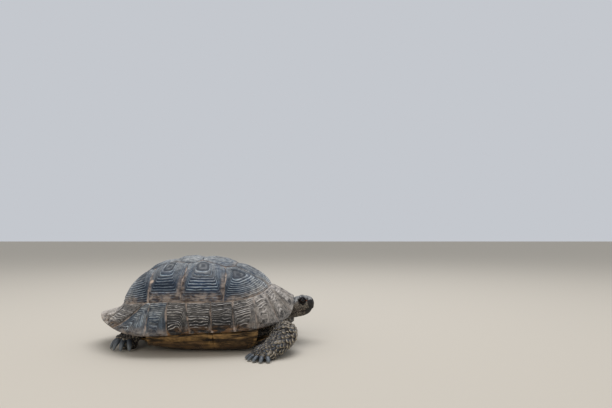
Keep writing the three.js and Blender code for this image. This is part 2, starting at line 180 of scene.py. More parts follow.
def round_net(sides, rows):
    """How far each vertex of a closed net lies from pole to pole, and its turn round the axis."""
    share = np.concatenate([[0.0], np.repeat(np.arange(1, rows) / rows, sides), [1.0]])
    turn = np.concatenate([[0.0], np.tile(np.arange(sides) * 2 * np.pi / sides, rows - 1), [0.0]])
    return share, turn


def net_faces(rows, sides):
    """Faces of a closed net: a first pole, rows of sides vertices each, and a last pole."""
    start = 1 + np.arange(rows - 1)[:, None] * sides
    here, there = np.arange(sides), (np.arange(sides) + 1) % sides
    quads = np.stack([start + here, start + there, start + sides + there, start + sides + here], -1)
    last = 1 + rows * sides
    first_fan = np.stack([np.zeros(sides, int), 1 + there, 1 + here], -1)
    last_row = last - sides
    last_fan = np.stack([np.full(sides, last), last_row + here, last_row + there], -1)
    return quads.reshape(-1, 4).tolist() + first_fan.tolist() + last_fan.tolist()


def object_of(name, points, faces, marks=None):
    """A smooth mesh object at the origin from points in mm, facing outwards, with its marks."""
    mesh = bpy.data.meshes.new(name)
    mesh.from_pydata(((points + SHIFT) * MM).tolist(), [], faces)
    write_marks(mesh, marks or {})
    solid = bmesh.new()
    solid.from_mesh(mesh)
    if solid.calc_volume(signed=True) < 0:
        mesh.flip_normals()
    solid.free()
    mesh.shade_smooth()
    obj = bpy.data.objects.new(name, mesh)
    bpy.context.scene.collection.objects.link(obj)
    return obj


def hand_over(obj, slot, *replaced):
    """Ties a finished piece to the frame, in place of the plain solids that it replaces."""
    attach(obj, "root")
    if replaced:
        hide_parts(*replaced)


print("a ball's net:", len(net_faces(15, 24)), "faces")

# %% [markdown]
# ## The shell's form
# A tortoise's carapace is one bony dome under a skin of horn scutes. Its form could be sculpted,
# but every scute must fit its neighbours, so here the form is a rule: a map from a flat disk.
# The disk's middle is the crown of the back. Radius 1 is the groove that runs all round above the
# marginal scutes, and radius 2 is the free edge. A scute is then an outline on the disk, and two
# scutes that share a line on the disk share a seam on the animal.

# %% The dome, its groove and its free edge
CROWN = 95.0
GROOVE = {"front": 83.0, "rear": 76.5, "half": 69.0, "square": 2.5}
GROOVE_HEIGHT = {"side": 53, "front_rise": 11, "rear_drop": 7}
RIM = {"front": 110.5, "rear": 105.5, "half": 74.0}
RIM_SQUARE = {"front": 2.4, "rear": 1.9}
RIM_HEIGHT = {"side": 24, "neck_rise": 12, "neck_arch": 15.5, "hip_drop": 4.2, "tail_flare": 13}
NOTCHES = {0: (3, 7), 180: (2.5, 9)}  # over neck and tail: how deep in mm, how wide in degrees
HIP = {"turn": 122, "width": 22, "flare": 0.13}


def on_oval(angle, front, rear, half, square):
    """A point of an egg-shaped oval with squared shoulders, as x and y."""
    c, s = np.cos(angle), np.sin(angle)
    x = np.sign(c) * np.where(c > 0, front, rear) * np.abs(c) ** (2 / square)
    return x, np.sign(s) * half * np.abs(s) ** (2 / square)


def frontness(angle, power):
    return np.maximum(0, np.cos(angle)) ** power


def rearness(angle, power):
    return np.maximum(0, -np.cos(angle)) ** power


def groove_point(angle):
    x, y = on_oval(angle, GROOVE["front"], GROOVE["rear"], GROOVE["half"], GROOVE["square"])
    rise = GROOVE_HEIGHT["front_rise"] * frontness(angle, 5)
    drop = GROOVE_HEIGHT["rear_drop"] * rearness(angle, 2)
    return np.stack([x, y, GROOVE_HEIGHT["side"] + rise - drop], -1)


def rim_point(angle):
    """The free edge arches over the neck, hangs low at the hips and flares over the tail."""
    square = np.where(np.cos(angle) > 0, RIM_SQUARE["front"], RIM_SQUARE["rear"])
    x, y = on_oval(angle, RIM["front"], RIM["rear"], RIM["half"], square)
    turn = np.degrees(np.abs(angle))
    turn = np.where(turn > 180, 360 - turn, turn)
    for middle, (deep, wide) in NOTCHES.items():
        x = x - deep * bump(turn, middle, wide)
    y = y * (1 + HIP["flare"] * bump(turn, HIP["turn"], HIP["width"]))
    arch = RIM_HEIGHT["neck_rise"] * frontness(angle, 4) + RIM_HEIGHT["neck_arch"] * bump(turn, 0, 12.5)
    z = RIM_HEIGHT["side"] + arch - RIM_HEIGHT["hip_drop"] * smooth(turn, 75, 125)
    return np.stack([x, y, z + RIM_HEIGHT["tail_flare"] * rearness(angle, 2.5)], -1)


for where, degrees in (("over the neck", 0), ("at the hip", HIP["turn"]), ("over the tail", 180)):
    print("free edge", where, rim_point(np.array(math.radians(degrees))).round(1))

# %% [markdown]
# ## From the disk to the shell
# The dome swells like part of a ball, but its edge follows the groove, which is neither round nor
# level. So each spoke of the disk becomes an arc of its own, from the crown down to the groove.
# Below the groove it leaves the dome along its slope and bends out to the free edge. A lattice
# modifier could press a ball into this form, but a rule also tells where every seam lies.

# %% A point of the shell
def dome_turn(angle):
    """How far round its own arc the dome has turned where it meets the groove."""
    return np.radians(75 - 10 * frontness(angle, 2) + 5 * rearness(angle, 2))


def dome_point(radius, angle):
    edge, turn = groove_point(angle), dome_turn(angle)
    out = np.sin(radius * turn) / np.sin(turn)
    up = (np.cos(radius * turn) - np.cos(turn)) / (1 - np.cos(turn))
    flat = edge[..., :2] * out[..., None]
    return np.stack([flat[..., 0], flat[..., 1], edge[..., 2] + (CROWN - edge[..., 2]) * up], -1)


def skirt_point(down, angle):
    """Below the groove the shell leaves the dome along its slope and bends to the free edge."""
    start, end = groove_point(angle), rim_point(angle)
    slope = start - dome_point(np.full_like(angle, 0.98), angle)
    slope /= np.linalg.norm(slope, axis=-1, keepdims=True)
    level = np.stack([np.cos(angle), np.sin(angle), np.full_like(angle, -0.3)], -1)
    slope += (level - slope) * (0.8 * frontness(angle, 4))[..., None]
    reach = 15 - 6 * frontness(angle, 2) - 8 * rearness(angle, 2)
    bend = start + slope * reach[..., None]
    t = down[..., None]
    return (1 - t) ** 2 * start + 2 * t * (1 - t) * bend + t * t * end


SEAM_WANDER = 0.007  # seams wander by up to this share of the disk, about half a millimetre


def shell_point(flat):
    """A point of the shell from its place on the disk (forward, left)."""
    spread = np.concatenate([flat * 60, np.zeros_like(flat[..., :1])], -1)
    still = 1 - smooth(np.hypot(flat[..., 0], flat[..., 1]), 1.7, 1.95)
    p = flat[..., 0] + SEAM_WANDER * still * noise(spread, 13, 1)
    q = flat[..., 1] + SEAM_WANDER * still * noise(spread, 13, 2)
    radius, angle = np.hypot(p, q), np.arctan2(q, p)
    dome = dome_point(np.minimum(radius, 1), angle)
    skirt = skirt_point(np.maximum(radius - 1, 0), angle)
    return np.where((radius <= 1)[..., None], dome, skirt)


def polar(radius, degrees):
    turn = np.radians(degrees)
    return np.stack([radius * np.cos(turn), radius * np.sin(turn)], -1)


def disk_of(x, y):
    """The place on the disk of a spot in plan that lies inside the groove."""
    a = abs(x) / (GROOVE["front"] if x > 0 else GROOVE["rear"])
    b = abs(y) / GROOVE["half"]
    share = (a ** GROOVE["square"] + b ** GROOVE["square"]) ** (1 / GROOVE["square"])
    half = GROOVE["square"] / 2
    angle = math.atan2(math.copysign((b / share) ** half, y), math.copysign((a / share) ** half, x))
    turn = float(dome_turn(np.array(angle)))
    radius = math.asin(min(1, share * math.sin(turn))) / turn
    return np.array([radius * math.cos(angle), radius * math.sin(angle)])


print("crown:", shell_point(np.zeros((1, 2))).round(1), "side edge:", rim_point(np.array(1.57)).round(1))

# %% [markdown]
# ## How a horn plate grows
# Each scute starts as the hatchling's small plate, the areola, and every season adds a ring of
# new horn at its edge. So a scute's surface isn't a texture laid on it: it is a record of its
# outlines. The net of each plate is built that way. Its rows are the plate's past outlines, from
# a small rounded one at the growth centre out to today's seam, and each vertex remembers how many
# rings have grown inside it. The relief can then be cut exactly along the rings.
# The helpers work on any surface that is given as a rule, so the belly plates use them too.

# %% Outlines
def along_edge(start, end, t, on_disk):
    """Points from one corner to the next; an edge along the groove ring follows the ring."""
    radii = np.hypot(*start), np.hypot(*end)
    if on_disk and abs(radii[0] - 1) < 1e-6 and abs(radii[1] - 1) < 1e-6:
        first, last = math.atan2(start[1], start[0]), math.atan2(end[1], end[0])
        turn = (last - first + math.pi) % (2 * math.pi) - math.pi
        return polar(1.0, np.degrees(first + turn * t))
    return start + (end - start) * t[:, None]


def outline_of(corners, surface, count, on_disk):
    """About count points round an outline, shared among its edges by their real length."""
    corners = [np.array(c, float) for c in corners]
    ends = corners[1:] + corners[:1]
    fine = np.linspace(0, 1, 25)
    lengths = []
    for start, end in zip(corners, ends):
        line = surface(along_edge(start, end, fine, on_disk))
        lengths.append(np.linalg.norm(np.diff(line, axis=0), axis=1).sum())
    shares = [max(2, round(count * length / sum(lengths))) for length in lengths]
    edges = [
        along_edge(start, end, np.arange(steps) / steps, on_disk)
        for start, end, steps in zip(corners, ends, shares)
    ]
    return np.concatenate(edges)


def rounded(outline, softness=0.055):
    """The same outline with its corners melted, as a hatchling's plate has them."""
    count = len(outline)
    offsets = np.minimum(np.arange(count), count - np.arange(count)) / count
    kernel = bump(offsets, 0, softness)
    kernel /= kernel.sum()
    waves = np.fft.fft(outline, axis=0) * np.fft.fft(kernel)[:, None]
    return np.fft.ifft(waves, axis=0).real


def edge_distance(points, border, free):
    """Distance in mm from each point to the parts of the closed border that aren't free."""
    step = np.roll(border, -1, axis=0) - border
    seamed = ~(free & np.roll(free, -1))
    border, step = border[seamed], step[seamed]
    length2 = (step**2).sum(1)
    best = np.empty(len(points))
    for i in range(0, len(points), 4000):
        apart = points[i : i + 4000, None] - border
        t = np.clip((apart * step).sum(2) / length2, 0, 1)
        best[i : i + 4000] = np.linalg.norm(apart - t[..., None] * step, axis=2).min(1)
    return best


def facing_of(kind, flat):
    """Unit normals of a kind's surface, from a small step in each of its flat coordinates."""
    surface, steps = kind["surface"], kind["steps"]
    forward, sideways = np.array([steps[0], 0]), np.array([0, steps[1]])
    along = surface(flat + forward) - surface(flat - forward)
    across = surface(flat + sideways) - surface(flat - sideways)
    normal = np.cross(along, across)
    return normal / np.linalg.norm(normal, axis=-1, keepdims=True) * kind["outward"]


print("an areola's corners melt:", rounded(np.array([[0.0, 0], [1, 0], [1, 1], [0, 1]]), 0.2).round(2)[0])

# %% [markdown]
# ## One plate's net
# The top comes first, row by row from the growth centre outwards, raised a little in the middle.
# Then a wall goes down from the seam and an underside closes the plate, so that it is a solid
# even where it can be seen from below. Each row's marks are worked out beside its places.

# %% One horn plate
AREOLA_ROWS = 8
NO_SEAM = 9.0  # mm, farther than a seam's colour reaches
SEAM_GAP = 0.04  # mm, as horn never quite touches horn
WALL_ROWS = (0.25, 0.5, 0.75)  # shares of the thickness
UNDER_ROWS = (1.0, 0.7, 0.35)  # shares of the outline
RING_SPREAD = 1.3  # above 1, the rings are narrower towards the seam, as growth slows with age


def growth_rows(outline, centre, areola, rows):
    """Flat places of a plate's past outlines, how much had grown, and how far out in the areola."""
    sides = len(outline)
    small = rounded(outline)
    small = centre + np.array(areola) * (small - small.mean(0))
    inward = np.arange(1, AREOLA_ROWS + 1) / AREOLA_ROWS
    u = np.arange(1, rows + 1) / rows
    inner = centre + (small - centre) * inward[:, None, None]
    outer = small + (outline - small) * u[:, None, None]
    flat = np.concatenate([centre[None], inner.reshape(-1, 2), outer.reshape(-1, 2)])
    grown = np.concatenate([np.zeros(1 + AREOLA_ROWS * sides), np.repeat(u, sides)])
    inside = np.concatenate([[0.0], np.repeat(inward, sides), np.full(rows * sides, 9.0)])
    return flat, grown, inside


def horn_plate(name, corners, centre, kind, rings, boss, sides, rows, areola=0.3):
    """The net of one plate, still without relief. kind tells the surface that it lies on."""
    surface, thickness = kind["surface"], kind["thickness"]
    outline = outline_of(corners, surface, sides, kind["on_disk"])
    sides = len(outline)
    centre = np.array(centre, float)
    flat, grown, inside = growth_rows(outline, centre, areola, rows)
    points, facing = surface(flat), facing_of(kind, flat)
    border, lie = points[-sides:], facing[-sides:]
    reach = np.linalg.norm(points - points[0], axis=1)
    full = np.concatenate([[1.0], np.tile(reach[-sides:], AREOLA_ROWS + rows)])
    top = points + facing * (boss * (1 - np.minimum(1, reach / full) ** 2))[:, None]
    pull = top[:1] - border
    top[-sides:] = border + pull / np.linalg.norm(pull, axis=1, keepdims=True) * SEAM_GAP

    # The wall and the underside close the plate. A free edge swells into a rounded lip.
    thick, lip = thickness(outline)[:, None], kind["lip"](outline)[:, None]
    out = np.cross(np.roll(border, -1, axis=0) - np.roll(border, 1, axis=0), lie)
    out *= np.sign((out * -pull).sum(1, keepdims=True)) / np.linalg.norm(out, axis=1, keepdims=True)
    wall = [top[-sides:] - lie * thick * s + out * lip * math.sin(math.pi * s) for s in WALL_ROWS]
    backs = []
    for s in UNDER_ROWS:
        spots = centre + (outline - centre) * s
        backs.append(surface(spots) - facing_of(kind, spots) * thickness(spots)[:, None])
    backs[0] += top[-sides:] - border
    pole = points[:1] - facing[:1] * thickness(flat[:1])[:, None]
    under = np.concatenate([*wall, *backs, pole])

    # Narrow rings are low. Only what lies near the seam needs its true distance from it.
    kept = points[1 + (AREOLA_ROWS - 1) * sides :].reshape(rows + 1, sides, 3)
    rings_per_row = rings * np.diff(np.linspace(0, 1, rows + 1) ** RING_SPREAD)
    ring_width = np.linalg.norm(np.diff(kept, axis=0), axis=2) / rings_per_row[:, None]
    ring_height = np.concatenate([np.zeros(1 + AREOLA_ROWS * sides), smooth(ring_width, 0.1, 1.4).ravel()])
    near = grown > 0.35
    edge = np.full(len(points), 50.0)
    edge[near] = edge_distance(points[near], border, kind["free"](outline))
    seed = sum((i + 3) * ord(letter) for i, letter in enumerate(name)) % 97
    marks = {
        "areola": (smooth(-inside, -1.15, -0.9) - 0.8 * bump(inside, 0.5, 0.16), 0.0),
        "growth": (np.where(grown > 0, rings * grown**RING_SPREAD + 0.02, -1.0), -1.0),
        "edge": (edge, NO_SEAM), "facing": (facing, 0.0), "relief": (np.ones(len(top)), 0.0),
        "ring_height": (ring_height, 0.0), "new_horn": (kind["new_horn"](flat, grown, centre), 1.0),
        "plate": (np.full(len(top), seed / 97), seed / 97),
    }
    marks = {
        key: np.concatenate([above, np.full((len(under), *above.shape[1:]), below)])
        for key, (above, below) in marks.items()
    }
    faces = net_faces(AREOLA_ROWS + rows + len(wall) + len(backs), sides)
    return object_of(name, np.concatenate([top, under]), faces, marks)


# %% [markdown]
# ## Growing with Geometry Nodes
# A Geometry Nodes tree is a recipe that Blender runs on a mesh. These helpers make an empty
# recipe with its inputs, run it on an object with values for them, and keep the result as a
# plain mesh, so that nothing is left to be worked out later.

# %% Tree helpers
MATHS = "ShaderNodeMath"
NAMED = "GeometryNodeInputNamedAttribute"
STORE = "GeometryNodeStoreNamedAttribute"


def new_tree(name, numbers):
    """An empty tree that takes a mesh, these numbers and a material, and gives a mesh."""
    tree = bpy.data.node_groups.new(name, "GeometryNodeTree")
    tree.interface.new_socket("Geometry", in_out="INPUT", socket_type="NodeSocketGeometry")
    for label in numbers:
        tree.interface.new_socket(label, in_out="INPUT", socket_type="NodeSocketFloat")
    tree.interface.new_socket("Material", in_out="INPUT", socket_type="NodeSocketMaterial")
    tree.interface.new_socket("Geometry", in_out="OUTPUT", socket_type="NodeSocketGeometry")
    add(tree, "NodeGroupInput")
    return tree, tree.nodes[-1].outputs


def kept_plain(obj):
    """Replaces an object's mesh and modifiers with its evaluated mesh."""
    plain = obj.data
    ready = obj.evaluated_get(bpy.context.evaluated_depsgraph_get())
    mesh = bpy.data.meshes.new_from_object(ready)
    obj.modifiers.clear()
    obj.data = mesh
    bpy.data.meshes.remove(plain)
    mesh.name = obj.name


def grow(obj, tree, **inputs):
    """Runs a Geometry Nodes tree on obj and keeps what it makes as obj's plain mesh."""
    modifier = obj.modifiers.new("grow", "NODES")
    modifier.node_group = tree
    for item in tree.interface.items_tree:
        key = item.name.replace(" ", "_").lower()
        if item.in_out == "INPUT" and key in inputs:
            modifier[item.identifier] = inputs[key]
    kept_plain(obj)


print("kinds of node used most:", MATHS, NAMED, STORE)

# %% [markdown]
# ## Cutting the growth rings
# The relief is the same rule on every plate, so it is one Geometry Nodes tree that all the plates
# pass through. It reads how many rings have grown at each vertex, makes each ring a rounded ridge
# with a narrow groove after it, lets every season be strong or weak, and sinks the seam. It also
# writes down where the grooves and seams lie, for the horn's colours: dust and pale young horn
# sit in the grooves, while the ridge tops are worn dark.

# %% The relief tree
def relief_tree():
    tree, given = new_tree(
        "horn_relief", ("Ridge Height", "Seam Depth", "Seam Width", "Roughness", "Waviness")
    )
    place = add(tree, "GeometryNodeInputPosition")
    growth, plate, relief, edge, ring_height = (
        add(tree, NAMED, name, data_type="FLOAT")
        for name in ("growth", "plate", "relief", "edge", "ring_height")
    )
    facing = add(tree, NAMED, "facing", data_type="FLOAT_VECTOR")

    # The rings wander a little, then each is a rounded ridge with a narrow groove after it.
    wave = add(tree, "ShaderNodeTexNoise", place, sockets={"Scale": 95.0, "Detail": 1.0})
    wander = add(tree, MATHS, wave, 0.5, operation="SUBTRACT")
    phase = add(tree, MATHS, wander, given["Waviness"], growth, operation="MULTIPLY_ADD")
    ringed = add(tree, MATHS, growth, 0.0, operation="GREATER_THAN")
    part = add(tree, MATHS, phase, operation="FRACT")
    swing = add(tree, MATHS, part, 2.0, -1.0, operation="MULTIPLY_ADD")
    swing = add(tree, MATHS, swing, operation="ABSOLUTE")
    hollow = add(tree, MATHS, swing, 3.0, operation="POWER")
    ridge = add(tree, MATHS, 1.0, hollow, operation="SUBTRACT")

    # Each season was good or bad, so each ring is strong or weak.
    season = add(tree, MATHS, phase, operation="FLOOR")
    season = add(tree, MATHS, plate, 50.0, season, operation="MULTIPLY_ADD")
    luck = add(tree, "ShaderNodeTexWhiteNoise", sockets={"W": season}, noise_dimensions="1D")
    strength = add(tree, MATHS, luck, 1.0, 0.15, operation="MULTIPLY_ADD")
    strength = add(tree, MATHS, strength, ringed, operation="MULTIPLY")

    # Seams fray: their edge moves in and out by a millimetre or two.
    crumbs = add(tree, "ShaderNodeTexNoise", place, sockets={"Scale": 520.0, "Detail": 2.0})
    dents = add(tree, "ShaderNodeTexNoise", place, sockets={"Scale": 130.0, "Detail": 1.0})
    frayed = add(tree, MATHS, dents, -3.4 * MM, 1.8 * MM, operation="MULTIPLY_ADD")
    edge_metres = add(tree, MATHS, edge, MM, frayed, operation="MULTIPLY_ADD")
    seam = add(
        tree, "ShaderNodeMapRange", edge_metres, given["Seam Width"], 0.0,
        interpolation_type="SMOOTHSTEP",
    )
    inland = add(tree, MATHS, 1.0, seam, operation="SUBTRACT")
    grain = add(tree, MATHS, crumbs, dents, operation="ADD")
    grain = add(tree, MATHS, grain, 0.5, operation="SUBTRACT")

    raised = ridge
    for factor in (strength, ring_height, given["Ridge Height"], inland):
        raised = add(tree, MATHS, raised, factor, operation="MULTIPLY")
    height = add(tree, MATHS, grain, given["Roughness"], raised, operation="MULTIPLY_ADD")
    sunk = add(tree, MATHS, seam, given["Seam Depth"], operation="MULTIPLY")
    height = add(tree, MATHS, height, sunk, operation="SUBTRACT")
    height = add(tree, MATHS, height, relief, operation="MULTIPLY")
    offset = add(tree, "ShaderNodeVectorMath", facing, sockets={"Scale": height}, operation="SCALE")
    flow = add(
        tree, "GeometryNodeSetPosition", given["Geometry"], sockets={"Offset": offset},
    )

    valley = add(tree, MATHS, swing, 7.0, operation="POWER")
    for factor in (strength, relief):
        valley = add(tree, MATHS, valley, factor, operation="MULTIPLY")
    for name, value in (("groove", valley), ("seam", seam), ("season", luck)):
        sockets = {"Name": name, "Value": value}
        flow = add(tree, STORE, flow, sockets=sockets, data_type="FLOAT", domain="POINT")
    flow = add(tree, "GeometryNodeSetMaterial", flow, sockets={"Material": given["Material"]})
    add(tree, "NodeGroupOutput", flow)
    return tree


horn_relief = relief_tree()
print("relief tree:", len(horn_relief.nodes), "nodes")

# %% [markdown]
# ## Painting in layers
# A procedural material is a stack of paints, and a mask lets each one through: a mark that the
# mesh carries, or a soft cloud of noise of a real size in millimetres. These helpers build the
# stack and end it in one shader, so that each finish below reads as a list of paints.

# %% Material helpers
MIX = "ShaderNodeMix"
MARK = "ShaderNodeAttribute"


def new_material(name, *marks):
    """An empty procedural material: itself, its tree, its coordinates, and its mesh's marks."""
    material = bpy.data.materials.new(name)
    material.use_nodes = True
    tree = material.node_tree
    tree.nodes.clear()
    place = add(tree, "ShaderNodeTexCoord", out="Object")
    return material, tree, place, *(add(tree, MARK, attribute_name=mark, out="Fac") for mark in marks)


def cloud(tree, place, size_mm, low, high, detail=3.0, squeeze=(1, 1, 1)):
    """Soft blotches of a real size, from 0 to 1, as contrasty as low and high are close."""
    stretched = add(tree, "ShaderNodeMapping", place, sockets={"Scale": squeeze})
    sockets = {"Scale": 1 / (size_mm * MM), "Detail": detail}
    blots = add(tree, "ShaderNodeTexNoise", stretched, sockets=sockets)
    return add(tree, "ShaderNodeMapRange", blots, low, high)


def painted(tree, colour, layers):
    """Lays paints over a first colour, one after another, each as thick as its share."""
    for share, paint in layers:
        colour = add(tree, MIX, out=2, data_type="RGBA", sockets={0: share, 6: colour, 7: paint})
    return colour


def finish_surface(tree, colour, rough, ior, grain=None, grain_mm=0.0, specular=0.5):
    """Ends a material: a shader of this colour, roughness and IOR, with a grain as bumps if any."""
    sockets = {"Base Color": colour, "Roughness": rough, "IOR": ior, "Specular IOR Level": specular}
    if grain:
        height = {"Height": grain, "Distance": grain_mm * MM}
        sockets["Normal"] = add(tree, "ShaderNodeBump", sockets=height)
    shader = add(tree, "ShaderNodeBsdfPrincipled", sockets=sockets)
    add(tree, "ShaderNodeOutputMaterial", shader)


print("a pale grey hex code in linear light:", [round(part, 3) for part in linear("#c9c9c3")])

# %% [markdown]
# ## The carapace's horn
# Scute horn is keratin, like a fingernail, laid down in sheets: IOR about 1.54, no metal, a dull
# sheen where wear polishes it. On this old animal it is blue-black on the ridges and dusty cream
# in the grooves, turning brown and pink where the horn is young, and dust lies on all that
# faces up. The upper marginals are also lightened by a painted sheen, laid on with the dust.
# The material reads the marks that the relief left, and breaks each of them with noise
# of a real size, so that no line is even.

# %% Horn material
def horn_material(name, colours, dust, grain_mm, polish=0.45, streak=(1, 1, 2.2)):
    """Keratin with grown rings. colours: ridge, worn ridge, groove, young, young stain, seam."""
    ridge, worn, groove, young, stain, seam_colour = colours
    material, tree, place, season, valley, seam, new_horn, dust_and_sheen_mark, chip, areola = new_material(
        name, "season", "groove", "seam", "new_horn", "dust", "chip", "areola"
    )
    first = add(tree, MATHS, areola, 0.75, operation="MULTIPLY")
    rubbed = add(tree, MATHS, cloud(tree, place, 14, 0.38, 0.62), season, operation="MULTIPLY")
    specks = add(tree, MATHS, cloud(tree, place, 0.9, 0.45, 0.75), 0.3, operation="MULTIPLY")
    broken = cloud(tree, place, 5, 0.3, 0.55, 2.0)
    lines = add(tree, MATHS, broken, 1.1, 0.3, operation="MULTIPLY_ADD")
    lines = add(tree, MATHS, lines, valley, operation="MULTIPLY", use_clamp=True)
    stained = cloud(tree, place, 7, 0.42, 0.58, squeeze=streak)
    fresh = add(tree, MIX, sockets={0: stained, 6: young, 7: stain}, out=2, data_type="RGBA")
    ragged = cloud(tree, place, 3.5, 0.3, 0.62)
    ragged = add(tree, MATHS, ragged, 0.8, 0.35, operation="MULTIPLY_ADD")
    ragged = add(tree, MATHS, ragged, new_horn, operation="MULTIPLY", use_clamp=True)
    veins = add(tree, MATHS, seam, cloud(tree, place, 2.5, 0.25, 0.5), operation="MULTIPLY")

    # Dust lies where the surface faces up, and where the animal drags it on. On the upper
    # marginals the dust mark also carries a painted sheen, laid on with the powder.
    normal = add(tree, "ShaderNodeNewGeometry", out="Normal")
    up = add(tree, "ShaderNodeSeparateXYZ", normal, out="Z")
    lying = add(tree, "ShaderNodeMapRange", up, 0.66, 1.0)
    upper = add(tree, "ShaderNodeMapRange", up, 0.0, 0.35)
    filled = add(tree, MATHS, valley, 0.5, 0.5, operation="MULTIPLY_ADD")
    dust_and_sheen_amount = add(tree, MATHS, dust_and_sheen_mark, upper, lying, operation="MULTIPLY_ADD")
    for factor in (cloud(tree, place, 4, 0.25, 0.7, 4.0), filled):
        dust_and_sheen_amount = add(tree, MATHS, dust_and_sheen_amount, factor, operation="MULTIPLY")
    powder_and_sheen = add(tree, MATHS, dust_and_sheen_amount, dust[1], operation="MULTIPLY", use_clamp=True)

    colour = painted(tree, ridge, [
        (rubbed, worn), (specks, worn), (lines, groove), (ragged, fresh), (veins, seam_colour),
        (powder_and_sheen, dust[0]), (first, ridge), (chip, "#c4ad97"),
    ])
    rough = add(tree, "ShaderNodeMapRange", dust_and_sheen_amount, sockets={3: polish, 4: 0.8})
    fine = cloud(tree, place, 0.5, 0.2, 0.8)
    grain = add(tree, MATHS, fine, 0.6, specks, operation="MULTIPLY_ADD")
    finish_surface(tree, colour, rough, 1.54, grain, grain_mm, specular=0.2)
    return material


carapace_horn = horn_material(
    "ringed_scute_keratin",  # cold blue-black ridges under chalky lines
    ("#02101f", "#0f2a44", "#abb9c0", "#877a6f", "#41352e", "#ab9a8c"),
    dust=("#c9c9c3", 1.2), grain_mm=0.12,
)
edge_horn = horn_material(
    "edge_scute_keratin",  # brown-black ridges, rubbed shinier by every stone they pass
    ("#0b0c0e", "#2f2e2e", "#e2dcd5", "#7d5a36", "#17110d", "#ad9b8d"),
    dust=("#bbb2a7", 1.15), grain_mm=0.12, polish=0.3,
)
print("horn materials:", carapace_horn.name, edge_horn.name)

# %% [markdown]
# ## The scutes of the back
# Five vertebral scutes run down the midline, and four costals lie on each side of them. Their
# corners are given in plan, in millimetres, and are carried to the disk. Each growth centre lies
# high on the plate, because a scute adds more horn towards the rim than towards the spine: that
# is why the rings below it are wide and those above it are squeezed.

# %% Vertebral and costal scutes
VERTEBRAL_CROSS = [(46, 20), (10, 22), (-22, 22), (-55, 15)]
VERTEBRAL_SIDE = [(65, 23), (36, 30), (-3, 31), (-39, 28)]
VERTEBRAL_CENTRE = [62, 26, -7, -39, -63]
COSTAL_SEAMS = [10, 67, 90.8, 112, 150]
COSTAL_CENTRE = [(50, 37), (14, 38), (-21, 37), (-50, 31)]
CHIP = (-35.4, -52.0, 72.0)  # an old chip at the top of the third right costal
CHIP_SIZE = (2.6, 2.6, 2.0)


def mirrored(spots):
    return [np.array([spot[0], -spot[1]]) for spot in spots]


def vertebral(number):
    front = [polar(1.0, COSTAL_SEAMS[0])] if number == 0 else [disk_of(*VERTEBRAL_CROSS[number - 1])]
    rear = [polar(1.0, COSTAL_SEAMS[4])] if number == 4 else [disk_of(*VERTEBRAL_CROSS[number])]
    side = [] if number == 4 else [disk_of(*VERTEBRAL_SIDE[number])]
    left = front + side + rear
    return left + mirrored(left)[::-1], disk_of(VERTEBRAL_CENTRE[number], 0)


def costal(number, side):
    outer = [polar(1.0, COSTAL_SEAMS[number]), polar(1.0, COSTAL_SEAMS[number + 1])]
    inner = [VERTEBRAL_CROSS[number], VERTEBRAL_SIDE[number]]
    if number < 3:
        inner = [VERTEBRAL_SIDE[number + 1], *inner]
    corners = outer + [disk_of(*spot) for spot in inner]
    centre = [disk_of(*COSTAL_CENTRE[number])]
    return (corners, centre[0]) if side > 0 else (mirrored(corners), mirrored(centre)[0])


def dome_new_horn(flat, grown, centre):
    """Young brown horn: the last rings on the side that faces down the flank."""
    outward = flat - centre
    falling = (outward * centre).sum(-1) / (np.linalg.norm(outward, axis=-1) + 0.02)
    falling /= np.linalg.norm(centre) + 1e-6
    return smooth(grown, 0.62, 0.86) * smooth(falling, 0.3, 0.75)


def dome_dust(points):
    x, _, z = points.T
    return 1.2 * smooth(x, -40, -82) + 0.95 * smooth(x, 44, 84) + 0.35 * smooth(z, 85, 93)


def finish_plate(plate, slot, material, dust, **relief):
    """Cuts the relief, settles powder and painted sheen, and puts the plate in place of its plain solid.
    """
    places = places_of(plate.data)
    off_chip = np.linalg.norm((places - CHIP) / CHIP_SIZE, axis=1)
    top = read_mark(plate.data, "relief")  # the wall and the underside stay bare of dust
    # On the marginals this mark also carries a painted sheen.
    write_marks(plate.data, {"dust": dust(places) * top, "chip": np.exp(-(off_chip**4))})
    grow(plate, horn_relief, material=material, **relief)
    hand_over(plate, slot, plate.name.removesuffix("_horn"))


dome = {
    "surface": shell_point, "on_disk": True, "steps": (0.004, 0.004), "outward": 1,
    "thickness": lambda flat: np.full(len(flat), 3.6),
    "lip": lambda flat: np.zeros(len(flat)), "free": lambda flat: np.zeros(len(flat), bool),
    "new_horn": dome_new_horn,
}
back_relief = {
    "ridge_height": 0.55 * MM, "seam_depth": 0.5 * MM, "seam_width": 1.0 * MM,
    "roughness": 0.22 * MM, "waviness": 0.9,
}
back_plates = [(f"vertebral_{i + 1}", vertebral(i), 10, 1.6 if i == 4 else 2.4, 84) for i in range(5)]
back_plates += [
    (f"costal_{word}_{i + 1}", costal(i, side), 11, 1.8, 96)
    for word, side in SIDES.items() for i in range(4)
]
for name, (corners, centre), rings, boss, rows in back_plates:
    plate = horn_plate(
        f"{name}_horn", corners, centre, dome, rings=rings, boss=boss,
        sides=int(120 * FINENESS), rows=int(rows * FINENESS),
    )
    finish_plate(plate, "carapace_horn", carapace_horn, dome_dust, **back_relief)
print("back scutes:", len(back_plates), "- faces on the last:", len(plate.data.polygons))

# %% [markdown]
# ## The marginal scutes
# Eleven marginals on each side, with a small nuchal scute over the neck and the supracaudal over
# the tail, wrap the edge. On the disk they lie between radius 1 and 2, so their outlines are
# given as radius and angle. Their growth centres lie low, near the free edge. Above the bridge
# the first plate of the hatchling was wide, which leaves strong level ridges on those scutes.

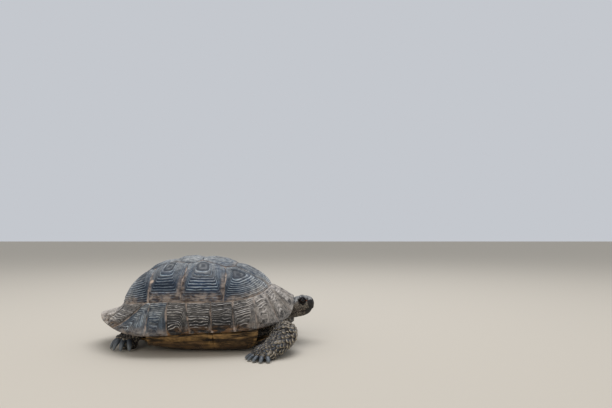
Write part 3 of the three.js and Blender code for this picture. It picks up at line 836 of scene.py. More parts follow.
# %% Marginals, nuchal and supracaudal
MARGINAL_SEAMS = [  # degrees from the nose, at the groove and at the free edge
    (2, 2.4), (12, 16.5), (23, 34), (38, 52), (59, 66), (75.5, 77.5),
    (89, 87.2), (97.5, 97.8), (110, 110.8), (115, 136), (146, 150), (161, 163),
]
BLUE_MARGINALS = (8, 9)  # these keep the back's blue-black; the others have worn to brown-black
LEVEL_MARGINALS = (5, 6, 7)


def skirt_surface(flat):
    return shell_point(polar(flat[..., 0], flat[..., 1]))


def skirt_new_horn(flat):
    """Brown and orange young horn in the lowest rings, along the free edge."""
    return smooth(flat[:, 0], 1.72, 1.97) * 0.85 * smooth(np.abs(flat[:, 1]), 35, 70)


def skirt_dust_and_sheen(points):
    x, _, z = points.T
    ends = 1.5 * smooth(x, -68, -86) + 1.1 * smooth(x, 42, 80)
    # The last term lightens the upper marginals: a painted sheen, as if their ridges caught the sky.
    return ends + 0.35 * smooth(x, -12, -26) + 0.3 * smooth(z, 32, 42)


def at_free_edge(flat):
    return flat[:, 0] > 1.999


skirt = {
    "surface": skirt_surface, "on_disk": False, "steps": (0.004, 0.3), "outward": 1,
    "thickness": lambda flat: 3.6 - 1.2 * smooth(flat[:, 0], 1, 2),
    "lip": lambda flat: np.where(at_free_edge(flat), 0.6, 0.0), "free": at_free_edge,
    "new_horn": lambda flat, grown, centre: skirt_new_horn(flat),
}
skirt_relief = {
    "ridge_height": 0.85 * MM, "seam_depth": 0.5 * MM, "seam_width": 1.1 * MM,
    "roughness": 0.3 * MM, "waviness": 2.6,
}


def skirt_plate(name, front, rear, centre, boss, areola, horn=edge_horn):
    """Makes one plate of the edge from its front and rear seams, each as two angles."""
    corners = [(1, front[0]), (2, front[1]), (2, rear[1]), (1, rear[0])]
    plate = horn_plate(
        f"{name}_horn", corners, centre, skirt, rings=11, boss=boss,
        sides=int(96 * FINENESS), rows=int(64 * FINENESS), areola=areola,
    )
    finish_plate(plate, "carapace_horn", horn, skirt_dust_and_sheen, **skirt_relief)


for word, side in SIDES.items():
    for number in range(1, len(MARGINAL_SEAMS)):
        front, rear = MARGINAL_SEAMS[number - 1 : number + 1]
        heading = front[1] + (rear[1] - front[1]) * 0.6
        skirt_plate(
            f"marginal_{word}_{number}", [side * turn for turn in front],
            [side * turn for turn in rear], (1.88, side * heading), 1.0,
            (0.08, 0.62 if number in LEVEL_MARGINALS else 0.3),
            carapace_horn if number in BLUE_MARGINALS else edge_horn,
        )
for name, seam, heading in (("nuchal", MARGINAL_SEAMS[0], 0), ("supracaudal", MARGINAL_SEAMS[-1], 180)):
    across = [2 * heading - turn for turn in seam]
    skirt_plate(name, seam, across, (1.6, heading), 0.6, 0.1)
print("marginals:", 2 * (len(MARGINAL_SEAMS) - 1), "and two on the midline")

# %% [markdown]
# ## The belly plates and the bridge
# The plastron is flat under the trunk and turns up at the sides as the bridge, which meets the
# marginals. It is drawn in the same way as the back, as outlines on a sheet with two flat
# coordinates: forward in millimetres, and across, where 1 is the end of the flat and 2 the top of
# the bridge. Its horn is brown and ochre with dark blotches, and a life of sliding over stones
# has worn its rings low, so its relief is half as deep.

# %% Plastron plates
FLAT_HALF = 43.0
BELLY_PLATES = {
    "gular": [(73, 0), (90, 0), (89, 0.2), (84, 0.45)],
    "humeral": [(73, 0), (84, 0.45), (75, 0.76), (66, 0.92), (59, 1), (50, 0.6), (48, 0)],
    "pectoral": [
        (48, 0), (50, 0.6), (59, 1), (66, 1.25), (72, 1.6), (75, 2), (30, 2), (30, 1.3), (33, 0.6),
        (34, 0),
    ],
    "abdominal": [
        (34, 0), (33, 0.6), (30, 1.3), (30, 2), (-37, 2), (-39, 1.3), (-42, 0.96), (-34, 0.5), (-30, 0),
    ],
    "femoral": [(-30, 0), (-34, 0.5), (-42, 0.96), (-50, 0.78), (-63, 0.64), (-58, 0)],
    "anal": [(-58, 0), (-63, 0.64), (-73, 0.52), (-81, 0.36), (-72, 0)],
}


def belly_height(x):
    return 2 + 5.5 * smooth(x, 58, 92) + 7.5 * smooth(-x, -8, 74)


def belly_point(flat):
    """The flat of the belly, then a bend up to the inner side of the shell's edge."""
    x, out = flat[..., 0], np.abs(flat[..., 1])
    low = belly_height(x)
    square = np.where(x > 0, RIM_SQUARE["front"], RIM_SQUARE["rear"])
    reach = np.where(x > 0, RIM["front"], RIM["rear"])
    wall = RIM["half"] * (1 - (np.abs(x) / reach) ** square) ** (1 / square)
    wall -= 1.6 + 1.4 * smooth(x, 40, 76)
    top = 22 - 3 * smooth(-x, -20, 40) + 3 * smooth(x, 50, 76)
    t = np.maximum(out - 1, 0)
    bent = (1 - t) ** 2 * FLAT_HALF + 2 * t * (1 - t) * (FLAT_HALF + 18) + t * t * wall
    y = np.where(out <= 1, FLAT_HALF * out, bent)
    z = np.where(out <= 1, low, (1 - t * t) * low + t * t * top)
    return np.stack([x, np.sign(flat[..., 1]) * y, z], -1)


def no_dust(points):
    return np.zeros(len(points))


belly = {
    "surface": belly_point, "on_disk": False, "steps": (0.5, 0.02), "outward": -1,
    "thickness": lambda flat: np.full(len(flat), 3.8),
    "lip": lambda flat: np.where((flat[:, 0] > 83.9) | (flat[:, 0] < -62.9), 0.4, 0.0),
    "free": lambda flat: np.zeros(len(flat), bool),
    "new_horn": lambda flat, grown, centre: 0.8 * smooth(grown, 0.5, 0.95),
}
plastron_horn = horn_material(
    "worn_belly_keratin",  # ochre horn in long streaks, with the near-black of old ridges
    ("#150e09", "#71573a", "#9a7a52", "#a3804f", "#100b07", "#241a12"),
    dust=("#8f8168", 0.3), grain_mm=0.08, streak=(0.35, 1, 2.6),
)
belly_relief = {
    "ridge_height": 0.3 * MM, "seam_depth": 0.6 * MM, "seam_width": 0.8 * MM,
    "roughness": 0.16 * MM, "waviness": 1.0,
}
for word, side in SIDES.items():
    for name, outline in BELLY_PLATES.items():
        corners = [(x, side * across) for x, across in outline]
        plate = horn_plate(
            f"{name}_{word}_horn", corners, np.mean(outline, axis=0) * (1, side), belly,
            rings=13, boss=0.0, sides=int(110 * FINENESS), rows=int(60 * FINENESS),
        )
        finish_plate(plate, "plastron_horn", plastron_horn, no_dust, **belly_relief)
print("plastron plates:", 2 * len(BELLY_PLATES))

# %% [markdown]
# ## One skin over the whole body
# Trunk, head, neck, legs and tail are separate solids in the frame, but an animal has one skin.
# It could be one sculpted mesh; here each part is first drawn as a simple rounded net, a little
# inside its solid to leave room for the scales, and a voxel remesh then melts the nets together,
# so that every armpit and fold root is a smooth web. Two passes are used. The body is melted at
# 0.95 mm. The head and neck, which get the most care, are melted at 0.44 mm and slide into the
# collar of the body's skin, as a real tortoise's neck does in its sleeve.

# %% Rounded limbs
SKIN_INSET = 0.9


def path_point(spots, t):
    """A smooth curve through the spots, with an equal share of t for each stretch."""
    ends = np.vstack([2 * spots[0] - spots[1], spots, 2 * spots[-1] - spots[-2]])
    at = np.clip(t, 0, 1) * (len(spots) - 1)
    i = np.minimum(at.astype(int), len(spots) - 2)
    w = (at - i)[:, None]
    a, b, c, d = (ends[i + k] for k in range(4))
    pairs = ((a, b), (b, c), (c, d))
    ab, bc, cd = (np.linalg.norm(q - p, axis=1, keepdims=True) ** 0.5 for p, q in pairs)
    leave = bc * ((b - a) / ab - (c - a) / (ab + bc) + (c - b) / bc)
    arrive = bc * ((c - b) / bc - (d - b) / (bc + cd) + (d - c) / cd)
    stay = 2 * w**3 - 3 * w**2
    return (1 + stay) * b + (w**3 - 2 * w**2 + w) * leave - stay * c + (w**3 - w**2) * arrive


def limb_path(stations, share):
    """The middle line at each share of a limb, with shares drawn closer together at its ends."""
    stations = np.array(stations, float)
    t = 0.35 * (1 - np.cos(share * np.pi)) / 2 + 0.65 * share
    return stations, t, path_point(stations[:, :3], t)


def limb_point(stations, share, turn, inset=0.0):
    """Points on a rounded limb, and the direction in which it runs there."""
    stations, t, centre = limb_path(stations, share)
    ahead = path_point(stations[:, :3], t + 1e-3) - path_point(stations[:, :3], t - 1e-3)
    ahead /= np.linalg.norm(ahead, axis=1, keepdims=True)
    wide = np.cross([0.0, 0.0, 1.0], ahead)
    wide /= np.linalg.norm(wide, axis=1, keepdims=True)
    high = np.cross(ahead, wide)
    at = np.linspace(0, 1, len(stations))
    half = [(np.interp(t, at, stations[:, k]) - inset)[:, None] for k in (3, 4)]
    cap = np.sqrt(np.maximum(0, 1 - np.abs(2 * share - 1) ** 5))[:, None]
    around = wide * np.cos(turn)[:, None] * half[0] + high * np.sin(turn)[:, None] * half[1]
    return centre + around * cap, ahead


def limb_net(name, stations, sides, rows, inset=SKIN_INSET):
    points, _ = limb_point(stations, *round_net(sides, rows), inset)
    return object_of(name, points, net_faces(rows - 1, sides))


print("a curve through three spots:", path_point(np.eye(3), np.array([0.25])).round(2)[0])

# %% [markdown]
# ## The limbs' stations
# A leg bends at the elbow or knee, is thick at the root and flat at the hand. So each limb is a
# short list of stations: the middle's x, y and z there, then a half width and a half height. The
# toes and claws of a foot take their number, spread and reach from one entry, so that flesh and
# horn agree.

# %% Stations and claws
LEGS = {
    "foreleg_right": {
        "stations": [
            (76, -30, 23, 11, 10), (92, -37, 21, 12.5, 10.5), (100, -48, 19.5, 13.5, 11),
            (98.3, -61, 16, 13.6, 10.3), (91.6, -70.5, 10.5, 14.2, 9.3), (84, -78, 7.5, 14.2, 7.5),
        ],
        "foot": (83, -78, 5.5), "pad": (14, 9), "heading": -122,
    },
    "foreleg_left": {
        "stations": [
            (76, 30, 23, 11, 10), (90, 37, 21, 12.5, 10.5), (95, 48, 19, 13, 11),
            (91, 60, 14, 13.5, 10), (87, 68, 9.5, 14, 8.5), (85, 74, 7, 13, 7),
        ],
        "foot": (85, 75, 5.5), "pad": (13.5, 9), "heading": 68,
    },
    "hindleg_right": {
        "stations": [
            (-44, -28, 26, 12, 11), (-55, -35, 21, 12.5, 11.5), (-62, -36, 14, 11, 10),
            (-65, -35.5, 8, 10.5, 8),
        ],
        "foot": (-65, -35.5, 8), "pad": (10.8, 8.5), "heading": -112,
    },
    "hindleg_left": {
        "stations": [
            (-46, 28, 26, 12, 11), (-60, 36, 21, 12.5, 11.5), (-70, 40, 14, 11.5, 10),
            (-74, 41, 8, 11, 8),
        ],
        "foot": (-74, 41, 8), "pad": (11.5, 8.5), "heading": 75,
    },
}
TAIL = [(-72, 0, 21, 8, 8), (-84, 1, 18, 6.8, 6.5), (-92, 6, 15, 4.8, 4.6), (-96, 15, 12.5, 2.2, 2.2)]
NECK = [(74, 0, 31, 14, 12), (86, 0, 32.5, 13, 11), (96, 0, 35, 11.5, 9.5), (106, 0, 38, 10, 8.5)]
COLLAR = [(76, 0, 30.5, 15.5, 12.5), (86, 0, 31.5, 15.2, 12), (93, 0, 33, 14, 11), (96, 0, 34, 12.5, 10)]
FORE_CLAWS = {"toes": 5, "spread": 23, "palm": 11, "reach": 19, "thick": 2.6, "rise": 0, "bulk": 0.9}
HIND_CLAWS = {"toes": 4, "spread": 29, "palm": 9.5, "reach": 17.5, "thick": 2.8, "rise": 5, "bulk": 1.0}
LIMBS = {**{name: leg["stations"] for name, leg in LEGS.items()}, "tail": TAIL, "neck": NECK}
print("stations:", {name: len(stations) for name, stations in LIMBS.items()})

# %% [markdown]
# ## Feet
# A tortoise walks on a round cushion with short, fleshy toes. The cushion is a flattened ball,
# and each toe's root is a small limb of its own, fanned out round the way the foot points.

# %% Feet
def claws_of(name):
    return FORE_CLAWS if name.startswith("fore") else HIND_CLAWS


def toe_stations(name, spots, thick):
    """Stations for each toe of a foot, from spots given as way out, height, width and height."""
    x, y, _ = LEGS[name]["foot"]
    claws = claws_of(name)
    fan = np.arange(claws["toes"]) - (claws["toes"] - 1) / 2
    for bearing in np.radians(LEGS[name]["heading"] + fan * claws["spread"]):
        forward = np.array([math.cos(bearing), math.sin(bearing), 0.0])
        yield [
            (*(np.array([x, y, up]) + forward * out), thick * wide, thick * high)
            for out, up, wide, high in spots
        ]


def foot_nets(name):
    """The cushion under a leg and the fleshy root of each toe."""
    leg, claws = LEGS[name], claws_of(name)
    x, y, z = leg["foot"]
    half, height = leg["pad"][0] - 2.0, leg["pad"][1] - SKIN_INSET
    sides, rows = 40, 20
    share, turn = round_net(sides, rows)
    tilt = share * np.pi
    ball = np.column_stack([np.sin(tilt) * np.cos(turn), np.sin(tilt) * np.sin(turn), np.cos(tilt)])
    cushion = ball * (half, half, height) + (x, y, leg["pad"][1] * 0.62)
    knuckle = z + claws["rise"]
    spots = [
        (-2, z * 0.9, 1.3, 1.3), (claws["palm"] - 2.5, knuckle * 0.95, 1.2, 1.2),
        (claws["palm"] + 2.6, knuckle * 0.8, 0.85, 0.85),
    ]
    return [object_of(f"{name}_pad", cushion, net_faces(rows - 1, sides))] + [
        limb_net(f"{name}_toe_{number}", stations, 20, 16, 0.0)
        for number, stations in enumerate(toe_stations(name, spots, claws["thick"] * 1.25))
    ]


print("toes:", {name: claws_of(name)["toes"] for name in LEGS})

# %% [markdown]
# ## Trunk
# The trunk fills the shell, and only its openings are ever seen. It is lofted from the shell's
# own rule, a few millimetres further in, so that it follows any change to the shell.

# %% Trunk
def trunk_net():
    """The body inside the shell: a dome above, a waist at the sides and a flat floor."""
    sides, inset = 96, 7.6
    angle = np.arange(sides) * 2 * np.pi / sides
    front, rear, half = (GROOVE[key] - inset for key in ("front", "rear", "half"))
    ring = np.stack(on_oval(angle, front, rear, half, GROOVE["square"]), -1)
    waist = np.stack(on_oval(angle, 87.4, 81.4, 60.4, 2.6), -1)
    hem = np.stack(on_oval(angle, 79.4, 75.4, 40.4, 2.8), -1)
    turn, edge = dome_turn(angle), groove_point(angle)[:, 2] - 2.6
    rows = []
    for share in np.arange(1, 13) / 12:
        out = np.sin(share * turn) / np.sin(turn)
        up = (np.cos(share * turn) - np.cos(turn)) / (1 - np.cos(turn))
        rows.append(np.column_stack([ring * out[:, None], edge + (CROWN - inset - edge) * up]))
    waist_height = 28 + 2 * frontness(angle, 4) - 4 * rearness(angle, 3)
    rows.append(np.column_stack([(ring + waist) / 2, np.full(sides, 41.0)]))
    rows.append(np.column_stack([waist, waist_height]))
    for share in (1.0, 0.66, 0.33):
        rows.append(np.column_stack([hem * share, belly_height(hem[:, 0] * share) + 5.8]))
    poles = [[0, 0, CROWN - inset]], [[0, 0, belly_height(np.zeros(1))[0] + 5.8]]
    return object_of("trunk_net", np.vstack([poles[0], *rows, poles[1]]), net_faces(len(rows), sides))


trunk = trunk_net()
print("trunk's net:", len(trunk.data.polygons), "faces")

# %% [markdown]
# ## Melting the parts together
# Booleans could join the nets, but they leave hard creases and thin, broken faces. A voxel remesh
# takes the outside of them all at once and gives one even net, and a few rounds of smoothing
# turn its small steps into soft webs.

# %% Melt the body
def joined(name, parts):
    bpy.ops.object.select_all(action="DESELECT")
    for part in parts:
        part.select_set(True)
    bpy.context.view_layer.objects.active = parts[0]
    bpy.ops.object.join()
    parts[0].name = name
    return parts[0]


def melted(name, parts, voxel_mm, smoothing=5):
    """Joins closed nets, remeshes them into one skin and smooths away the voxel steps."""
    whole = joined(name, parts)
    remesh = whole.modifiers.new("melt", "REMESH")
    remesh.mode, remesh.voxel_size, remesh.use_smooth_shade = "VOXEL", voxel_mm * MM, True
    soften = whole.modifiers.new("soften", "SMOOTH")
    soften.iterations, soften.factor = smoothing, 0.5
    kept_plain(whole)
    return whole


flesh = [trunk, limb_net("tail_net", TAIL, 40, 30)]
for name, leg in LEGS.items():
    flesh.append(limb_net(f"{name}_net", leg["stations"], 56, 40))
    flesh.extend(foot_nets(name))
flesh.append(limb_net("collar_net", COLLAR, 48, 20, 0.0))
body = melted("body_skin", flesh, 0.95 / FINENESS)
print("body skin:", len(body.data.polygons), "faces")

# %% [markdown]
# ## The head's ground form
# The head is a squarish box with a flat crown, a blunt snout and a narrow throat. It is lofted
# from a few stations along its length, each with a crown, a chin and a half width, and melted
# with the neck. Everything finer is cut afterwards into the melted mesh by rules that look only
# at where a vertex lies, so the form below and the features above can be tuned apart.

# %% Loft the head and melt it to the neck
HEAD_STATIONS = [
    (98, 43, 29, 8.5), (101, 45.5, 27.2, 11), (105, 48, 26.4, 12.6), (109.5, 50.2, 26.6, 12.9),
    (114, 51.4, 27.6, 12.1), (118.5, 52, 28.4, 11), (123.5, 51.9, 30.2, 9.6),
    (127.7, 50.6, 33, 8), (130.5, 48.6, 36.6, 6), (131.9, 45.6, 40.4, 3.2),
]
CORNERING = 0.8  # 1 would give oval sections, less gives squarer ones


def head_net(inset=0.5, sides=96, rows=64):
    stations = path_point(np.array(HEAD_STATIONS, float), np.linspace(0, 1, rows))
    x, top, chin, half = (column[:, None] for column in stations.T)
    top, chin, half, x = top - inset, chin + inset, half - inset, x - inset * smooth(x, 126, 132)
    turn = np.arange(sides) * 2 * np.pi / sides
    across = np.sign(np.cos(turn)) * np.abs(np.cos(turn)) ** CORNERING
    up = np.sign(np.sin(turn)) * np.abs(np.sin(turn)) ** CORNERING
    narrow = np.where(up < 0, 1 + 0.22 * up, 1 - 0.1 * up**2)
    middle = chin + (top - chin) * 0.52
    z = middle + np.where(up > 0, top - middle, middle - chin) * up
    rings = np.stack([np.broadcast_to(x, z.shape), across * half * narrow, z], -1).reshape(-1, 3)
    back, front = [[x[0, 0] - 1, 0, middle[0, 0]]], [[x[-1, 0] + 0.3, 0, middle[-1, 0]]]
    return object_of("head_net", np.vstack([back, rings, front]), net_faces(rows, sides))


head = melted("head_skin", [head_net(), limb_net("neck_net", NECK, 64, 40, 0.8)], 0.44 / FINENESS)
print("head skin:", len(head.data.polygons), "faces")

# %% [markdown]
# ## Eyes, lids, beak and shields
# These are what make a face. The eyelids are a thin shell on the eyeball with an almond opening;
# past its edge the skin dives behind the eyeball, so the lid has a real rim. The mouth is a fine
# groove under the horny upper beak, with two nostrils above its tip. Shields on the crown and
# granules elsewhere are a Voronoi pattern on scattered seeds: a vertex that is almost as near to
# the second seed as to the first lies in the furrow between two scales. The mesh is first made
# finer near the eyes and the beak, where these features are smallest.

# %% Finer mesh where the features are fine
EYE = np.array([118.0, 7.6, 46.9])
EYE_RADIUS = 4.0
EYE_OUT = np.array([0.26, 0.95, 0.17]) / np.linalg.norm([0.26, 0.95, 0.17])
EYE_FORWARD = np.array([1.0, 0, 0]) - EYE_OUT * EYE_OUT[0]
EYE_FORWARD /= np.linalg.norm(EYE_FORWARD)
EYE_UP = np.cross(EYE_FORWARD, EYE_OUT)
BEAK = np.array([130.0, 0.0, 41.0])
NOSTRIL = np.array([131.3, 1.4, 45.9])


def folded(points):
    """The same places with the animal's right side laid over its left."""
    return points * (1, 0, 1) + np.abs(points) * (0, 1, 0)


def refine(obj, centre, radius):
    """Splits the faces within radius mm of centre, on both sides of the animal."""
    near = np.linalg.norm(folded(places_of(obj.data)) - centre, axis=1) < radius
    work = bmesh.new()
    work.from_mesh(obj.data)
    work.verts.ensure_lookup_table()
    edges = [e for e in work.edges if near[e.verts[0].index] and near[e.verts[1].index]]
    bmesh.ops.subdivide_edges(work, edges=edges, cuts=1, use_grid_fill=True)
    work.to_mesh(obj.data)
    work.free()


if FINENESS == 1:
    refine(head, EYE + EYE_OUT * 2, 7.5)
    refine(head, EYE + EYE_OUT * 3, 5.5)
    refine(head, BEAK, 7.0)
print("refined head:", len(head.data.polygons), "faces")

# %% [markdown]
# ## Where one granule ends and the next begins
# Reptile skin is paved with small scales in no order but of an even size. A bump texture could
# paint them on, but real furrows hold real shadows. So seeds are scattered with a least distance
# between them, and each vertex asks how much farther its second nearest seed is than its first.

# %% Scattered seeds and the gaps between them
GOLDEN_SHARE = 0.6180339  # of the range; shades that step by it stay well apart


def scattered(points, spacing, lie=None, squeeze=1.0):
    """Picks points so that no two lie closer than their own spacing in mm.

    Along the direction lie, spots may come squeeze times closer than across it.
    """
    size = float(spacing.max())
    lie = np.zeros_like(points) if lie is None else lie
    extra = np.broadcast_to(np.square(squeeze) - 1, len(points))
    cells = {}
    chosen = []
    homes = np.floor(points / size).astype(int).tolist()
    for i, (a, b, c) in enumerate(homes):
        near = [
            other for shift in np.ndindex(3, 3, 3)
            for other in cells.get((a + shift[0], b + shift[1], c + shift[2]), ())
        ]
        apart = points[near] - points[i]
        reach = (apart**2).sum(1) + extra[i] * (apart @ lie[i]) ** 2
        if np.all(reach > spacing[i] ** 2):
            cells.setdefault((a + 1, b + 1, c + 1), []).append(i)
            chosen.append(i)
    return np.array(chosen)


def cell_gaps(points, seeds):
    """How much farther each point's second nearest seed is than its nearest, and a shade by seed."""
    tree = KDTree(len(seeds))
    for i, seed in enumerate(seeds.tolist()):
        tree.insert(seed, i)
    tree.balance()
    gaps, nearest = np.empty(len(points)), np.empty(len(points), int)
    for i, point in enumerate(points.tolist()):
        (_, nearest[i], first), (_, _, second) = tree.find_n(point, 2)
        gaps[i] = second - first
    return gaps, (nearest * GOLDEN_SHARE) % 1


line = np.linspace(0, 10, 21)[:, None] * (1.0, 0.0, 0.0)
print("seeds on 10 mm, more than 3 mm apart:", len(scattered(line, np.full(len(line), 3.0))))

# %% [markdown]
# ## Shields and granules of the head
# The crown carries a few large shields, most of them in pairs. Cheeks and throat have granules,
# and the beak is one smooth sheath. The shields' middles are listed one by one, because every
# tortoise has them in the same places, and the granules are scattered between them.

# %% Shields and granules of the head
SHIELDS = [  # the middle of each shield on the crown: how far forward and how far out
    (127.2, 1.7), (123.6, 3.4), (124.0, 0.0), (118.8, 0.0), (119.6, 4.4), (114.0, 2.6), (114.6, 6.6),
    (110.2, 0.0), (109.6, 5.0), (106.0, 2.5), (105.4, 7.4), (101.5, 0.0), (101.2, 5.0),
]


def mouth_height(x, y):
    rise = 2.6 * smooth(x, 110, 127) + 1.0 * smooth(x, 128.5, 131.5)
    return 34.3 + rise - 1.0 * bump(y, 0, 1.3) * smooth(x, 129.5, 131)


def head_seeds(points, normal):
    """Seeds for the crown's shields and for the granules round them."""
    x, _, z = points.T
    order = np.random.default_rng(5).permutation(len(points))
    crown = [(sx, s * sy) for sx, sy in SHIELDS for s in ((1, -1) if sy else (1,))]
    tops = np.array([s[:2] for s in HEAD_STATIONS], float)
    shields = np.array([(sx, sy, np.interp(sx, tops[:, 0], tops[:, 1]) - 0.6) for sx, sy in crown])
    spacing = 1.25 + 0.8 * smooth(x, 97, 101) * smooth(z, 33, 42)
    pool = order[(normal[order, 2] < 0.55) | (x[order] < 99)]
    picked = pool[scattered(points[pool], spacing[pool])]
    far = np.linalg.norm(points[picked][:, None] - shields, axis=2).min(1) > 2.3
    return np.vstack([shields, points[picked][far]])


def face_scales(points, normal):
    """Relief of shields and granules in mm, their furrows and shades, and the smooth beak."""
    x, y, z = folded(points).T
    gap, tint = cell_gaps(points, head_seeds(points, normal))
    beak = smooth(x + 0.35 * (z - 42), 124.6, 125.6)
    beak = np.maximum(beak, smooth(x, 121, 123) * (1 - smooth(z - mouth_height(x, y), 1.8, 2.8)))
    beak *= 1 - smooth(z, 47.2, 48.2) * (1 - smooth(x, 128.5, 130))
    furrow_shade = (1 - smooth(gap, 0.05, 0.6)) * (1 - beak)
    depth = (0.28 + 0.2 * smooth(normal[:, 2], 0.3, 0.7)) * (smooth(gap, 0, 1.1) - 0.6) * (1 - beak)
    return depth, furrow_shade, tint, beak


print("shields on the crown:", sum(2 if out else 1 for _, out in SHIELDS))

# %% [markdown]
# ## Mouth, nose and lids
# Sculpt mode could carve these by hand. Here each one is a rule of where a vertex lies, which
# keeps both sides alike and lets any of them be moved later. Mouth, nostrils, ears and brows move
# the skin along its normal, and the lids lay it over the eyeball.

# %% Mouth, nose and lids
def face_features(points):
    """Relief of mouth, beak, nostrils, ears and brows in mm, and marks for slit, holes and lips."""
    x, y, z = folded(points).T
    above = z - mouth_height(x, y)
    mouth = smooth(x, 108.5, 111)
    slit = bump(above, 0, 0.34) * mouth
    # The upper beak's edge overhangs the lower jaw.
    overhang = 0.35 * smooth(above, -0.1, 0.5) * (1 - smooth(above, 1.6, 3.6))
    recess = 0.45 * (1 - smooth(above, -0.5, 0.1)) * smooth(above, -5, -1.5) * smooth(x, 118, 126)
    sheath = bump(x + 0.35 * (z - 42), 125.1, 0.35) * smooth(above, 0, 1)
    hole = bump(np.hypot(y - NOSTRIL[1], z - NOSTRIL[2]), 0, 0.6) * smooth(x, 129, 130)
    drum = np.hypot(x - 104.6, (z - 38.2) * 0.9)
    ear = 0.2 * bump(drum, 3.2, 0.5) - 0.3 * (1 - smooth(drum, 2.4, 3.0))
    brow = bump(x, 117.5, 5.5) * bump(z, 51.4, 1.0) * bump(y, 7.6, 2.2)
    depth = mouth * (overhang - recess) - 0.75 * slit - 0.22 * sheath * (1 - smooth(z, 47.5, 49))
    depth += ear * smooth(y, 8, 10) + 0.55 * brow - 1.1 * hole
    return depth, slit, hole, bump(above, 0, 1.1) * mouth


def lidded(points):
    """Lays the skin over each eyeball as lids with an almond opening, and marks lids and corner."""
    local = folded(points) - EYE
    out, ahead, up = local @ EYE_OUT, local @ EYE_FORWARD, local @ EYE_UP
    span = np.hypot(ahead, up)
    almond = np.abs(up - 0.1) / np.where(up > 0, 2.7, 2.9) + (ahead / 4.0) ** 2
    inside = (span < 6.5) & (out > -2.5)
    over_ball = span < EYE_RADIUS + 0.75
    shell = np.sqrt(np.maximum((EYE_RADIUS + 0.75) ** 2 - span**2, 0))
    crease = 0.28 * bump(almond, 1.38, 0.08) + 0.22 * bump(almond, 1.72, 0.1)
    lid = np.log(np.exp(out / 0.5) + np.exp(shell / 0.5) * over_ball) * 0.5 - crease
    lid += 0.16 * bump(almond, 1.14, 0.09)
    pit = np.sqrt(np.maximum(EYE_RADIUS**2 - span**2, 0)) - 1.6
    goal = pit + (lid - pit) * smooth(almond, 0.93, 1.1)
    blend = np.where(inside, 1 - smooth(span, 5.4, 6.5), 0)
    moved = EYE_OUT * ((goal - out) * blend)[:, None]
    moved[:, 1] *= np.where(points[:, 1] < 0, -1.0, 1.0)
    dark = blend * (1 - smooth(almond, 1.5, 2.1))
    return points + moved, dark, 0.8 * bump(ahead, 4.6, 0.7) * bump(up, -0.2, 0.9) * inside


def carve_face(mesh):
    """Cuts all features of the head into its mesh, and writes marks for the colours."""
    points, normal = places_of(mesh), normals_at(mesh)
    face = smooth(points[:, 0], 97, 101)
    relief, furrow_shade, tint, beak = face_scales(points, normal)
    depth, slit, hole, lip = face_features(points)
    carved, dark, corner = lidded(points + normal * (relief + depth)[:, None])
    set_places(mesh, carved)
    # The dark mark darkens the lids and paints shade into the nostrils and the mouth's slit.
    write_marks(mesh, {
        "furrow_shade": np.clip(furrow_shade + slit * 0.4, 0, 1), "beak": np.clip(beak, 0, 1),
        "dark": np.clip(dark + hole + 0.8 * slit, 0, 1), "orange": corner,
        "crown": smooth(normal[:, 2], 0.3, 0.7) * face, "head": face, "lip": lip, "tint": tint,
    })


carve_face(head.data)
print("face carved; the mouth's height at its tip:", mouth_height(130.0, 0.0).round(1), "mm")

# %% [markdown]
# ## Hide on the limbs
# The body's skin is loose. It folds in rings where the limbs bend, and all of it is paved with
# small flat granules, which the same Voronoi rule cuts here as relief. Most of the trunk is
# hidden inside the shell, so its mesh is thinned there before the detail is added.

# %% Thin the hidden part
def hidden_inside(points):
    """1 where the shell hides the trunk's skin, 0 near the openings for limbs, neck and tail."""
    x, y, z = points.T
    deep = smooth(z, 46, 50)
    middle = smooth(x, -42, -36) * (1 - smooth(x, 54, 60)) * smooth(np.abs(y), -1, 0)
    return np.maximum(deep, middle)


def thin_hidden(obj, hidden, kept_share=0.06):
    group = obj.vertex_groups.new(name="hidden")
    for i in np.flatnonzero(hidden).tolist():
        group.add([i], 1.0, "REPLACE")
    thin = obj.modifiers.new("thin", "DECIMATE")
    thin.ratio, thin.vertex_group = 1 - hidden.mean() * (1 - kept_share), "hidden"
    kept_plain(obj)
    obj.vertex_groups.clear()


thin_hidden(body, hidden_inside(places_of(body.data)) > 0.5)
thin_hidden(head, places_of(head.data)[:, 0] < 90)  # the neck inside its collar
print("body skin without what is hidden:", len(body.data.polygons), "faces")

# %% [markdown]
# ## Folds and granules
# To fold the skin round a limb, each vertex must know whose skin it is and how far along it lies.
# Samples of the middle lines tell both. The folds are ripples along the line, weaker towards the
# foot, where the skin is tight, and one deep fold hangs over the wrist.

# %% Fold and pave the rest
WRIST = 44.0  # mm along a foreleg's middle line
SOLE_GAP = 0.06  # mm between the skin and the floor


def limb_guide():
    """60 samples of every limb's middle line."""
    share = np.linspace(0, 1, 60)
    parts = []
    for number, limb in enumerate(LIMBS.values()):
        stations, t, centre = limb_path(limb, share)
        _, ahead = limb_point(limb, share, np.zeros(60))
        radius = np.interp(t, np.linspace(0, 1, len(stations)), stations[:, 3])
        steps = np.linalg.norm(np.diff(centre, axis=0), axis=1)
        travelled = np.concatenate([[0.0], np.cumsum(steps)])
        parts.append((centre, ahead, radius, np.full(60, number), share, travelled))
    keys = ("place", "ahead", "radius", "limb", "share", "travelled")
    return {key: np.concatenate(column) for key, column in zip(keys, zip(*parts))}


GUIDE = limb_guide()


def along_limbs(points):
    """What the guide says at the sample nearest to each point, counted in limb radii."""
    index = np.empty(len(points), int)
    for i in range(0, len(points), 3000):
        apart = np.linalg.norm(points[i : i + 3000, None] - GUIDE["place"], axis=2)
        index[i : i + 3000] = (apart / GUIDE["radius"]).argmin(1)
    return {key: column[index] for key, column in GUIDE.items()}


